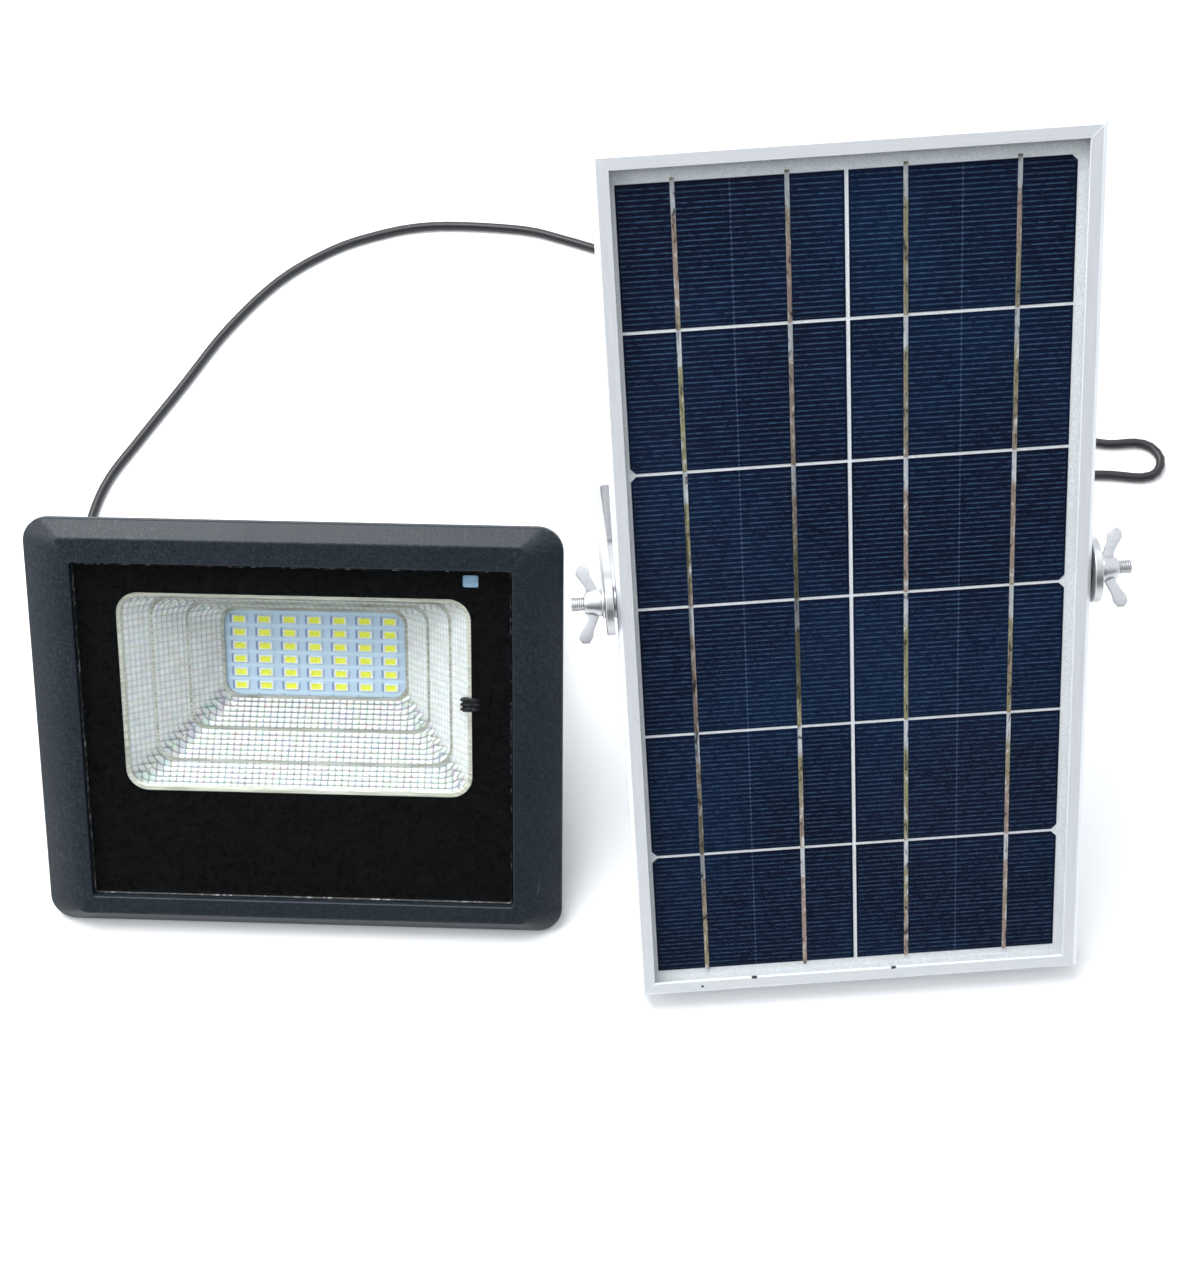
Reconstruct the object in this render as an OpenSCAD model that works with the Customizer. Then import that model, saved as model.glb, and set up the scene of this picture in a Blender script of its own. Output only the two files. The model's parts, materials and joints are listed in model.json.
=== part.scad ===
// Solar flood light: an LED lamp head and a solar panel, each on its own tilting
// bracket, joined by a two-core cable. Millimetres, +Z up. The origin is on the
// ground, in the middle of the footprint that the lamp and the panel share.

/* [Lamp] */
// Width of the lamp across its bezel
lamp_w = 212; // [195:1:250]
// Height of the lamp along its face
lamp_h = 173; // [160:1:205]
// Corner radius of the bezel's outline
lamp_corner = 10; // [8:1:20]
// Width of the bezel's sloping edge at the left and right
slope_side = 12.5; // [9:0.5:14]
// Width of the bezel's sloping edge at the top and bottom
slope_end = 6; // [4:0.5:7]
// How far the bezel's rim lies behind its face
slope_rise = 7; // [4:0.5:8]
// Depth of the bezel's rim wall
rim_t = 3; // [3:0.5:6]
// Width of the bezel's flat border beside the glass
border_side = 7; // [6:0.5:9]
// Width of the bezel's flat border above the glass
border_top = 10; // [9:0.5:13]
// Width of the bezel's flat border below the glass
border_low = 7.5; // [7:0.5:10]
// Width of the step inside the bezel that carries the glass
glass_step = 2.5; // [2.5:0.5:5]
// Depth of the housing behind the bezel
housing_d = 26; // [24:1:34]
// Wall of the housing
housing_wall = 2.5; // [2:0.1:3.5]
// Width of the housing's flange
flange_w = 9.5; // [9:0.5:11]
// Thickness of the housing's flange
flange_t = 2.5; // [2:0.5:4]
// How far the housing's walls draw in towards its back
housing_draw = 17.5; // [14:0.5:18]
// Number of cooling fins
fin_count = 13; // [7:1:17]
// Height of the fins behind the housing
fin_h = 10; // [4:1:10]
// Thickness of a fin
fin_t = 2; // [1.5:0.5:3]

/* [Lamp glass] */
// Thickness of the glass
glass_t = 3.2; // [3:0.1:5]
// How far the glass lies behind the bezel's face
glass_set = 1.5; // [0.5:0.1:3]
// Gap round the glass
glass_gap = 0.5; // [0.3:0.1:1]
// Thickness of the printed border
print_t = 0.2; // [0.1:0.05:0.3]
// Thickness of the rubber seal behind the glass
seal_t = 0.8; // [0.5:0.1:1.5]
// Width of the clear window in the print
window_w = 140; // [120:0.5:146]
// Height of the clear window in the print
window_h = 84; // [80:0.5:92]
// Corner radius of the clear window
window_r = 9; // [4:1:14]
// How far the window sits above the middle of the glass
window_up = 17; // [15:0.5:18]
// Width of the sensor's small window
eye_w = 6.4; // [4:0.1:8]
// Height of the sensor's small window
eye_h = 5.2; // [4:0.1:6]

/* [Reflector and LEDs] */
// Depth of the reflector
reflector_d = 23.5; // [20:0.5:25]
// Wall of the reflector
reflector_t = 1.5; // [1:0.1:2]
// Number of tiers in the reflector
tiers = 3; // [2:1:3]
// Width of the ledge between two tiers
tier_step = 1.2; // [0.6:0.1:2]
// Width of the opening over the LED board
opening_w = 73.5; // [66:0.5:76]
// Height of the opening over the LED board
opening_h = 37; // [32:1:40]
// How far the opening sits above the middle of the window
opening_up = 9.3; // [0:0.1:11]
// How far the opening sits to the right of the middle
opening_right = 4.1; // [0:0.1:5]
// Columns of LEDs
led_cols = 7; // [4:1:7]
// Rows of LEDs
led_rows = 6; // [3:1:6]
// Distance between LED columns
led_pitch_x = 10.2; // [8:0.1:10.4]
// Distance between LED rows
led_pitch_y = 5.7; // [4:0.1:6]
// Thickness of the LED board
board_t = 1.6; // [1:0.1:2]

/* [Battery] */
// Diameter of a battery cell
cell_d = 26.2; // [18:0.1:26.4]
// Length of a battery cell
cell_l = 65.5; // [50:0.5:68]

/* [Lamp bracket] */
// Length of the bracket's arms from the pivot to the outside of the base
lamp_arm = 88; // [86:1:130]
// Width of the bracket's strip
lamp_strip = 25; // [20:1:27]
// Thickness of the bracket's strip
lamp_strip_t = 2.5; // [2:0.5:4]
// Distance between the two small base holes
lamp_base_span = 60; // [50:1:110]
// Radius of the lamp's pivot bolts
lamp_bolt_r = 3; // [2.5:0.5:4]

/* [Panel] */
// Width of the panel across its frame
panel_w = 176; // [172:1:230]
// Length of the panel across its frame
panel_h = 340; // [336:1:420]
// Depth of the frame
frame_d = 16; // [16:0.5:25]
// Wall of the frame extrusion
frame_wall = 1.5; // [1.2:0.1:2]
// Width of the slope on the frame's front outer edge
frame_slope = 1.6; // [0.5:0.1:1.8]
// Width of the frame's front lip
lip_w = 6; // [4:0.5:6.5]
// Thickness of the frame's lips and shelf
lip_t = 1.2; // [1:0.1:1.5]
// Width of the frame's back flange
back_lip = 14; // [10:0.5:18]
// Width of a solar cell
solar_w = 78.7; // [60:0.1:78.9]
// Height of a solar cell
solar_h = 52; // [40:0.1:52.3]
// Gap between the two columns of cells
solar_gap_x = 1.4; // [1:0.1:1.6]
// Gap between the rows of cells
solar_gap_y = 1.2; // [1:0.1:1.6]
// Rows of cells
solar_rows = 6; // [4:1:6]
// How far the cells sit to the left of the panel's middle
solar_left = 0.9; // [0:0.1:1.6]
// How far the cells sit below the panel's middle
solar_down = 0.8; // [0:0.1:1.5]
// Thickness of the panel's front glass
cover_t = 2.6; // [2:0.1:3.2]
// Radius of the panel's pivot bolts
panel_bolt_r = 2.5; // [2:0.5:3]

/* [Panel bracket] */
// Length of the bracket's arms from the pivot to the outside of the base
panel_arm = 165; // [140:1:168]
// Width of the bracket's strip
panel_strip = 25; // [20:1:28]
// Thickness of the bracket's strip
panel_strip_t = 3; // [2:0.5:4]
// Distance between the two small base holes
panel_base_span = 100; // [80:1:140]

/* [Junction box] */
// Width of the junction box
box_w = 62; // [50:1:70]
// Height of the junction box
box_h = 46; // [40:1:60]
// Depth of the junction box without its lid
box_d = 18; // [16:1:25]
// How far the box sits above the middle of the panel
box_up = 85; // [70:1:95]

/* [Stance] */
// Lean of the lamp's face from upright
lamp_lean = 45.5; // [40:0.5:50]
// Lean of the panel's face from upright
panel_lean = 40; // [36:0.5:44]
// Turn of the panel about the vertical
panel_yaw = 5.8; // [0:0.1:8]
// Place of the lamp's right edge, left to right
lamp_edge = 0; // [-24:1:6]
// Place of the lamp's face, front to back
lamp_y = -39; // [-60:1:-20]
// Place of the panel's left edge, left to right
panel_edge = 22; // [18:1:50]
// Place of the panel's face, front to back
panel_y = -7.5; // [-20:0.5:10]

/* [Cable] */
// Diameter of the cable
cord_d = 4; // [3:0.5:5]
// Turns side by side in the coil
coil_turns = 6; // [4:1:6]
// Layers in the coil
coil_layers = 4; // [2:2:4]
// Radius of the coil's inmost turn, at the middle of the cable
coil_inner = 19; // [18:1:24]

/* [Hidden] */
$fn = 48;
fine = 0.1;

// Lamp, derived. The lamp's own frame has x to the right, y up its face and z out
// of its face, from the middle of the face; all of it but the face is below z = 0.
rim_back = slope_rise + rim_t;
recess_w = lamp_w - 2 * (slope_side + border_side);
recess_h = lamp_h - 2 * slope_end - border_top - border_low;
recess_y = (border_low - border_top) / 2;
print_back = glass_set + glass_t + print_t;
step_z = print_back + seal_t;
body_front = rim_back + flange_t;
body_back = rim_back + housing_d;
body_w = lamp_w - 32;
body_h = lamp_h - 28;
floor_z = body_back - housing_wall;
pivot_z = rim_back + 18;
window_y = recess_y + window_up;
opening_y = window_y + opening_up;
board_z = print_back + reflector_d + reflector_t;
led_board_w = opening_w + 20;
led_board_h = opening_h + 10;
control_w = 17;
control_x = opening_right + (led_board_w + control_w + 1) / 2;
led_w = 5.7;
led_h = 3;
led_t = 0.8;
clip_t = 2;
eye_x = recess_w / 2 - 16.5;
eye_y = recess_y + recess_h / 2 - glass_step - 0.2 - eye_h / 2;
lug_r = 9;
lug_x = body_w / 2 - 2;
lamp_x = lamp_edge - lamp_w / 2;
lamp_z = lamp_h / 2 * cos(lamp_lean) + rim_back * sin(lamp_lean);
cell_y = recess_y + window_up - window_h / 2 - 2.5 - cell_d / 2;
cell_z = floor_z - 0.9 - cell_d / 2;
screw_r = 2;
gland_x = -60;
gland_pad = 2;
gland_r = 6;
gland_hex = 5;
gland_nut = 12;

// Panel, derived. Its own frame is like the lamp's, from the middle of its front.
ribbon_t = 0.15;
solar_t = 0.2;
backsheet_t = 0.55;
sealant_t = 0.3;
cover_back = lip_t + cover_t;
cells_front = cover_back + ribbon_t;
cells_back = cells_front + solar_t;
sheet_back = cells_back + backsheet_t;
shelf_z = sheet_back + sealant_t;
shelf_w = lip_w + 3;
laminate_gap = 0.5;
laminate_w = panel_w - 2 * (frame_wall + laminate_gap);
laminate_h = panel_h - 2 * (frame_wall + laminate_gap);
channel_top = shelf_z + lip_t;
channel_low = frame_d - lip_t;
panel_pivot_z = (channel_top + channel_low) / 2;
panel_x = panel_edge + panel_w / 2;
panel_z = panel_h / 2 * cos(panel_lean) + frame_d * sin(panel_lean);
cells_span_x = 2 * solar_w + solar_gap_x;
cells_span_y = solar_rows * solar_h + (solar_rows - 1) * solar_gap_y;
washer_t = 1;
turn_gap = 0.2;
box_back = sheet_back + box_d;
relief_l = 24;
nut_l = 6.5;
bolt_over = 5;

// Brackets: span between the arms, and the turn that sets the base's edge on the ground.
lamp_span = 2 * (lug_x + washer_t + turn_gap);
panel_span = panel_w + 2 * (washer_t + turn_gap);
lamp_turn = arm_turn(lamp_z - pivot_z * sin(lamp_lean), lamp_arm, lamp_strip / 2);
panel_turn = arm_turn(panel_z - panel_pivot_z * sin(panel_lean), panel_arm, panel_strip / 2);

// Cable routes, as points along the middle of the cable, in the order they are laid.
cord_r = cord_d / 2;
cord_sides = 8;
plug_r = 7;
lamp_route = [
    [-166, -0.3, 28.3], [-166.2, 5, 22.6], [-167.5, 11, 16.6], [-171, 17, 10.4], [-177, 22, 5.6],
    [-185, 25, 3.1], [-194, 28, 2], [-202, 33, 2], [-209, 40, 2], [-215, 50, 2], [-219, 63, 2],
    [-221, 79, 2], [-220.5, 95, 2], [-215.5, 113, 2], [-204, 134, 2], [-188, 162, 2],
    [-170, 194, 2], [-148, 222, 2], [-124, 240, 2], [-103, 249, 2], [-83, 254, 2], [-61, 255, 2],
    [-32, 253, 2], [-15, 248.5, 2], [2, 243, 2], [19, 237.5, 2], [34, 234.3, 2.4], [47, 233, 4.4], [58, 233, 7]
];
panel_route = [
    [132, 233, 7], [142, 233, 4.4], [154, 231, 2.2], [168, 225, 2], [181, 215.5, 2], [191, 202, 2],
    [199, 185, 2], [206, 168, 2], [214, 153, 2], [225, 144, 2], [238, 141, 2], [250, 142, 2],
    [257, 140, 2], [261, 134, 2], [259, 127, 2], [252, 124, 2], [238, 125, 2], [224, 125, 2],
    [208, 126, 2], [190, 130, 2], [170, 135, 2], [150, 141, 2], [138, 143.5, 2], [126, 144, 2]
];
drop_route = [
    [165, 183, 14], [165, 174, 14], [165, 164, 15], [166, 152, 20], [167, 141, 32], [168, 130, 52],
    [169, 120, 76], [171, 110, 102], [173, 100, 128], [175, 90, 152], [176, 80, 172], [176.5, 71.5, 185],
    [172.5, 66, 193.6], [166, 63.8, 196.8], [158.4, 62.9, 196.8]
];
coil_at = [126, 183, 0];
coil_mid = coil_inner + (coil_turns - 1) * cord_d / 2;

// ---------- shared shapes ----------

function arm_turn(pivot_up, arm, half) =
    atan(half / arm) + acos(pivot_up / sqrt(arm * arm + half * half));
function unit(v) = v / norm(v);
function drop_along(v, t) = unit(v - (v * t) * t);

function headings(p) =
    let (n = len(p)) [for (i = [0 : n - 1]) unit(p[min(i + 1, n - 1)] - p[max(i - 1, 0)])];
function sides_along(t, v, i = 0) =
    i == len(t) ? [] : let (w = drop_along(v, t[i])) concat([w], sides_along(t, w, i + 1));

// A round tube swept along a list of points.
module tube(p, r, n) {
    t = headings(p);
    a = sides_along(t, [0.3, 0.2, 1]);
    rings = [for (i = [0 : len(p) - 1], k = [0 : n - 1])
        p[i] + r * (cos(360 * k / n) * a[i] + sin(360 * k / n) * cross(t[i], a[i]))];
    walls = [for (i = [0 : len(p) - 2], k = [0 : n - 1])
        [i * n + k, (i + 1) * n + k, (i + 1) * n + (k + 1) % n, i * n + (k + 1) % n]];
    last = (len(p) - 1) * n;
    polyhedron(rings, concat(walls,
        [[for (k = [0 : n - 1]) k]], [[for (k = [n - 1 : -1 : 0]) last + k]]));
}

// A rectangle with round corners, and a slab of it between two depths behind a face.
module round_rect(w, h, r) {
    square([w - 2 * r, h], center = true);
    square([w, h - 2 * r], center = true);
    for (x = [-1, 1], y = [-1, 1]) translate([x * (w / 2 - r), y * (h / 2 - r)]) circle(r);
}
module slab(w, h, r, from, to) {
    translate([0, 0, -to]) linear_extrude(to - from) round_rect(w, h, r);
}
module in_lamp() {
    translate([lamp_x, lamp_y, lamp_z]) rotate([90 - lamp_lean, 0, 0]) children();
}
module in_panel() {
    translate([panel_x, panel_y, panel_z]) rotate([0, 0, panel_yaw])
        rotate([90 - panel_lean, 0, 0]) children();
}
// A cylinder along X, from x = 0.
module along_x(r, l, n = 48) {
    rotate([0, 90, 0]) cylinder(r = r, h = l, $fn = n);
}
module both_sides() {
    for (s = [0, 1]) mirror([s, 0, 0]) children();
}

// A strip bent into a U: the pivot is at the origin and the base is below it.
module u_bracket(span, arm, strip, t, pivot_r, hole_span) {
    outer_r = 2.5 * t;
    difference() {
        union() {
            rotate([90, 0, 0]) linear_extrude(strip, center = true) difference() {
                round_rect(span + 2 * t, 2 * arm, outer_r);
                round_rect(span, 2 * (arm - t), outer_r - t);
                translate([-span, 0]) square([2 * span, 2 * arm]);
            }
            both_sides() translate([span / 2, 0, 0]) along_x(strip / 2, t);
        }
        both_sides() {
            translate([span / 2 - fine, 0, 0]) along_x(pivot_r, t + 2 * fine);
            translate([hole_span / 2, 0, -arm - fine]) cylinder(r = 3.2, h = t + 2 * fine);
        }
        translate([0, 0, -arm - fine]) cylinder(r = 4.2, h = t + 2 * fine);
    }
}

// ---------- lamp: front ----------

module bezel_screw_places() {
    x = body_w / 2 + 4.7;
    y = body_h / 2 + 4.7;
    for (s = [-1, 1], k = [-1, 1]) {
        translate([s * x, k * lamp_h / 4, 0]) children();
        translate([k * lamp_w / 4, s * y, 0]) children();
    }
}
module front_bezel() {
    color("#2b2f36") in_lamp() difference() {
        hull() {
            slab(lamp_w, lamp_h, lamp_corner, slope_rise, rim_back, $fn = 64);
            slab(lamp_w - 2 * slope_side, lamp_h - 2 * slope_end, lamp_corner / 2, 0, fine, $fn = 32);
        }
        translate([0, recess_y, 0]) {
            slab(recess_w, recess_h, 1.5, -1, step_z);
            slab(recess_w - 2 * glass_step, recess_h - 2 * glass_step, 1.5, step_z - fine, rim_back + 1);
        }
        bezel_screw_places() translate([0, 0, -rim_back - 1]) cylinder(r = screw_r, h = 6);
    }
}
module front_glass() {
    color("#cfe0e6", 0.5) in_lamp() translate([0, recess_y, 0])
        slab(recess_w - 2 * glass_gap, recess_h - 2 * glass_gap, 1, glass_set, glass_set + glass_t);
}
module glass_print() {
    color("#0b0c0e") in_lamp() difference() {
        translate([0, recess_y, 0]) slab(recess_w - 2 * glass_gap, recess_h - 2 * glass_gap, 1,
            glass_set + glass_t, print_back);
        translate([0, window_y, 0])
            slab(window_w, window_h, window_r, glass_set + glass_t - fine, print_back + fine);
        translate([eye_x, eye_y, 0])
            slab(eye_w, eye_h, 0.5, glass_set + glass_t - fine, print_back + fine);
    }
}
module glass_seal() {
    color("#1a1a1a") in_lamp() translate([0, recess_y, 0]) difference() {
        slab(recess_w - 2 * glass_gap, recess_h - 2 * glass_gap, 1, print_back, step_z);
        slab(recess_w - 2 * glass_step, recess_h - 2 * glass_step, 1.5, print_back - fine, step_z + fine);
    }
}

// ---------- lamp: reflector and LEDs ----------

function tier_w(k) = window_w + (opening_w - window_w) * k / tiers;
function tier_h(k) = window_h + (opening_h - window_h) * k / tiers;
function tier_z(k) = print_back + reflector_d * k / tiers;
function tier_r(k) = window_r - 3 * k / tiers;

// One tier's sloping space, grown by a wall all round.
module tier(k, wall) {
    grow = 2 * wall;
    edge = 2 * tier_step;
    hull() {
        translate([opening_right, opening_up, 0] * k / tiers)
            slab(tier_w(k) + grow, tier_h(k) + grow, tier_r(k) + wall, tier_z(k), tier_z(k) + fine, $fn = 32);
        translate([opening_right, opening_up, 0] * (k + 1) / tiers)
            slab(tier_w(k + 1) + edge + grow, tier_h(k + 1) + edge + grow, tier_r(k + 1) + wall,
                tier_z(k + 1) - fine, tier_z(k + 1) + wall, $fn = 32);
    }
}
module reflector() {
    color("#dfe2e4") in_lamp() translate([0, window_y, 0]) difference() {
        union() {
            slab(window_w + 4, window_h + 4, window_r + 2, print_back, print_back + reflector_t);
            for (k = [0 : tiers - 1]) tier(k, reflector_t);
        }
        for (k = [0 : tiers - 1]) translate([0, 0, k == 0 ? fine : 0]) tier(k, 0);
        translate([opening_right, opening_up, 0])
            slab(opening_w, opening_h, tier_r(tiers), board_z - reflector_t - 1, board_z + 1);
        translate([0, -window_y, 0]) clip_block(0.2);
    }
}
// The clip sits in a notch in the reflector's right edge, against the print.
module clip_block(gap) {
    translate([window_w / 2 - 3, window_y - 4 - gap, -print_back - clip_t - gap])
        cube([5 + gap, 6 + 2 * gap, clip_t + 2 * gap]);
}
module reflector_clip() {
    color("#101010") in_lamp() clip_block(0);
}
module led_board() {
    color("#b9cfe0") in_lamp() translate([opening_right, opening_y, 0]) difference() {
        slab(led_board_w, led_board_h, 2, board_z, board_z + board_t);
        led_screw_places() translate([0, 0, -board_z - board_t - 1]) cylinder(r = 1.6, h = board_t + 2);
    }
}
module led_screw_places() {
    for (x = [-1, 1], y = [-1, 1])
        translate([x * (led_board_w / 2 - 3), y * (led_board_h / 2 - 5), 0]) children();
}
module led_packages() {
    color("#f0e040") in_lamp() translate([opening_right, opening_y, 0])
        for (i = [0 : led_cols - 1], j = [0 : led_rows - 1])
            translate([(i - (led_cols - 1) / 2) * led_pitch_x, (j - (led_rows - 1) / 2) * led_pitch_y, 0])
                slab(led_w, led_h, 0.3, board_z - led_t, board_z);
}
module led_board_screws() {
    color("silver") in_lamp() translate([opening_right, opening_y, 0]) led_screw_places() {
        slab(5, 5, 2.4, board_z - 1.4, board_z);
        translate([0, 0, -floor_z]) cylinder(r = 1.5, h = floor_z - board_z + fine);
    }
}

// ---------- lamp: housing ----------

module body_shell(inset) {
    hull() {
        slab(body_w - 2 * inset, body_h - 2 * inset, 10 - inset, body_front, body_front + fine, $fn = 32);
        slab(body_w - 2 * inset - 2 * housing_draw, body_h - 2 * inset - 2 * housing_draw, 10 - inset,
            body_back - inset - fine, body_back - inset, $fn = 32);
    }
}
module fins() {
    h = body_h - 2 * housing_draw - 16;
    start = gland_x + 18;
    pitch = (body_w / 2 - housing_draw - 4 - start) / (fin_count - 1);
    for (i = [0 : fin_count - 1])
        translate([start + i * pitch - fin_t / 2, -h / 2, -body_back - fin_h]) cube([fin_t, h, fin_h + 1]);
}
module board_post_places() {
    for (x = [-5.5, 5.5], y = [-20, 36]) translate([control_x + x, y, 0]) children();
}
module lamp_housing() {
    color("#33373e") in_lamp() {
        difference() {
            union() {
                body_shell(0);
                slab(body_w + 2 * flange_w, body_h + 2 * flange_w, 11, rim_back, body_front);
                fins();
                both_sides() translate([lug_x - 14, 0, -pivot_z]) along_x(lug_r, 14);
                translate([gland_x, 0, -body_back - gland_pad]) cylinder(r = 12, h = gland_pad + 1);
            }
            body_shell(housing_wall);
            slab(body_w - 2 * housing_wall, body_h - 2 * housing_wall, 7.5, rim_back - 1, body_front + fine);
            bezel_screw_places() translate([0, 0, -body_front - 1]) cylinder(r = screw_r + 0.2, h = flange_t + 2);
            both_sides() translate([lug_x - 12, 0, -pivot_z]) along_x(lamp_bolt_r, 13);
            translate([gland_x, 0, -body_back - gland_pad - 1]) cylinder(r = gland_r, h = 8);
        }
        // Raised pad that cools the LED board, with its screw holes, and posts for the control board.
        translate([opening_right, opening_y, 0]) difference() {
            slab(led_board_w - 2, led_board_h, 2, board_z + board_t, floor_z);
            led_screw_places() translate([0, 0, -floor_z - 1])
                cylinder(r = 1.5, h = floor_z - board_z - board_t + 2);
        }
        board_post_places() slab(5, 5, 2.4, board_z + board_t, floor_z);
    }
}
module housing_screws() {
    color("silver") in_lamp() bezel_screw_places() {
        slab(7, 7, 3.4, body_front, body_front + 2.4);
        translate([0, 0, -body_front]) cylinder(r = screw_r, h = flange_t + 4.8);
    }
}
module lamp_pivot_bolts() {
    head_x = lug_x + 2 * washer_t + 2 * turn_gap + lamp_strip_t;
    color("silver") in_lamp() both_sides() translate([0, 0, -pivot_z]) {
        translate([lug_x - 11, 0, 0]) along_x(lamp_bolt_r, head_x - lug_x + 11 + fine);
        translate([head_x, 0, 0]) along_x(lamp_bolt_r * 1.9, 4, 6);
    }
}
module lamp_pivot_washers() {
    color("silver") in_lamp() both_sides()
        for (x = [lug_x, lug_x + washer_t + 2 * turn_gap + lamp_strip_t])
            translate([x, 0, -pivot_z]) difference() {
                along_x(7, washer_t);
                translate([-fine, 0, 0]) along_x(lamp_bolt_r, washer_t + 2 * fine);
            }
}
module lamp_bracket() {
    color("#33373e")
        translate([lamp_x, lamp_y + pivot_z * cos(lamp_lean), lamp_z - pivot_z * sin(lamp_lean)])
            rotate([lamp_turn, 0, 0])
                u_bracket(lamp_span, lamp_arm, lamp_strip, lamp_strip_t, lamp_bolt_r + 0.1, lamp_base_span);
}

// ---------- lamp: battery and electronics ----------

module battery_cells() {
    color("#2f6db5") in_lamp() both_sides() translate([0.5, cell_y, -cell_z]) {
        along_x(cell_d / 2, cell_l);
        translate([cell_l - fine, 0, 0]) along_x(4, 1 + fine);
    }
}
module battery_cradles() {
    color("#d8d8d0") in_lamp() both_sides() difference() {
        translate([cell_l / 2 - 6, cell_y - 6, -floor_z]) cube([12, 14, 7]);
        translate([0, cell_y, -cell_z]) along_x(cell_d / 2, cell_l + 2);
    }
}
module battery_wires() {
    x = cell_l + 3;
    for (k = [0, 1]) color(k == 0 ? "red" : "#202020") in_lamp()
        tube([[x, cell_y + 2 - 4 * k, -cell_z], [x + 2, cell_y + 4 - 4 * k, -cell_z - 1],
            [x + 3 - 3 * k, cell_y + 9 - 3 * k, -cell_z - 4], [x - 3 * k, -24.5, -board_z - 0.8]], 0.8, 8);
}
module control_board() {
    color("#1f6b3a") in_lamp() translate([control_x, 8, 0])
        slab(control_w, 64, 1, board_z, board_z + board_t);
}
module control_parts() {
    color("#30343a") in_lamp() translate([control_x, 0, 0]) {
        translate([3.5, 30, -board_z]) cylinder(r = 5, h = 6);
        translate([3.5, 16, -board_z]) cylinder(r = 4, h = 7);
        slab(6, 8, 0.4, board_z - 1.6, board_z);
        translate([1.5, -14, 0]) slab(12, 8, 0.4, board_z - 5, board_z);
    }
}
module sensor_module() {
    color("#5a7f9c") in_lamp() translate([eye_x, eye_y, 0]) {
        slab(eye_w - 0.4, eye_h - 0.4, 0.8, print_back, print_back + 4);
        translate([0, -3, 0]) slab(12, 9, 0.5, print_back + 4, print_back + 5);
    }
}
module lamp_gland() {
    color("#18191b") in_lamp() translate([gland_x, 0, -body_back - gland_pad]) {
        translate([0, 0, -fine]) cylinder(r = gland_r, h = gland_pad + housing_wall + 2 + fine);
        translate([0, 0, -gland_hex]) cylinder(r = 10.5, h = gland_hex, $fn = 6);
    }
}
module lamp_gland_nut() {
    color("#18191b") in_lamp() translate([gland_x, 0, -body_back - gland_pad - gland_hex]) difference() {
        union() {
            translate([0, 0, -7]) cylinder(r = 9, h = 7);
            translate([0, 0, -gland_nut]) cylinder(r1 = 5.5, r2 = 9, h = gland_nut - 7);
        }
        translate([0, 0, -gland_nut + 1]) cylinder(r = 4, h = gland_nut);
    }
}
module lamp_gland_seal() {
    color("#303030") in_lamp()
        translate([gland_x, 0, -body_back - gland_pad - gland_hex - gland_nut + 1])
            cylinder(r = 4, h = gland_nut - 1);
}

// ---------- panel: frame ----------

rail_outline = [
    [0, -frame_slope], [frame_slope, 0], [lip_w, 0], [lip_w, -lip_t], [frame_wall, -lip_t], [frame_wall, -shelf_z],
    [shelf_w, -shelf_z], [shelf_w, -channel_top], [frame_wall, -channel_top],
    [frame_wall, -channel_low], [back_lip, -channel_low], [back_lip, -frame_d], [0, -frame_d]
];

// A mitred rail whose outer wall is at x = -half, running along Y.
module rail(length, half) {
    m = back_lip + 1;
    color("#c9ced6") intersection() {
        translate([-half, 0, 0]) rotate([90, 0, 0]) linear_extrude(length, center = true) polygon(rail_outline);
        translate([-half, 0, -frame_d - 1]) linear_extrude(frame_d + 2) polygon([
            [0, -length / 2], [m, m - length / 2], [m, length / 2 - m], [0, length / 2]]);
    }
}
module side_rail() {
    difference() {
        rail(panel_h, panel_w / 2);
        translate([-panel_w / 2 - 1, 0, -panel_pivot_z]) along_x(panel_bolt_r, frame_wall + 2);
    }
}
module frame_left() { in_panel() side_rail(); }
module frame_right() { in_panel() mirror([1, 0, 0]) side_rail(); }
module frame_top() { in_panel() rotate([0, 0, -90]) rail(panel_w, panel_h / 2); }
module frame_bottom() { in_panel() rotate([0, 0, 90]) rail(panel_w, panel_h / 2); }
module corner_keys() {
    leg = 22;
    color("#9aa0a6") in_panel() both_sides() for (k = [0, 1]) mirror([0, k, 0])
        translate([-panel_w / 2 + frame_wall, -panel_h / 2 + frame_wall, -channel_low])
            linear_extrude(channel_low - channel_top)
                polygon([[0, 0], [leg, 0], [leg, 6], [6, 6], [6, leg], [0, leg]]);
}

// ---------- panel: laminate ----------

module panel_glass() {
    color("#dfe9ee", 0.4) in_panel() slab(laminate_w, laminate_h, 1, lip_t, cover_back);
}
// Places of the cells, and which of their outer corners come from a wafer's corner.
module cell_places() {
    for (c = [0, 1], r = [0 : solar_rows - 1]) {
        top_cut = c == 0 ? (r == 2 || r == 5) : (r == 0 || r == 3 || r == 5);
        low_cut = c == 0 ? (r == 1 || r == 4) : (r == 2 || r == 4);
        translate([(c - 0.5) * (solar_w + solar_gap_x) - solar_left,
            cells_span_y / 2 - solar_h / 2 - r * (solar_h + solar_gap_y) - solar_down, 0])
            mirror([c == 0 ? 0 : 1, 0, 0]) solar_cell(top_cut, low_cut);
    }
}
module solar_cell(top_cut, low_cut) {
    cut = 2;
    x = -solar_w / 2;
    y = solar_h / 2;
    top = top_cut ? [[x, y - cut], [x + cut, y]] : [[x, y]];
    low = low_cut ? [[x + cut, -y], [x, cut - y]] : [[x, -y]];
    translate([0, 0, -cells_back]) linear_extrude(solar_t)
        polygon(concat(top, [[-x, y], [-x, -y]], low));
}
module solar_cells() {
    color("#0f2348") in_panel() cell_places();
}
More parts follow.
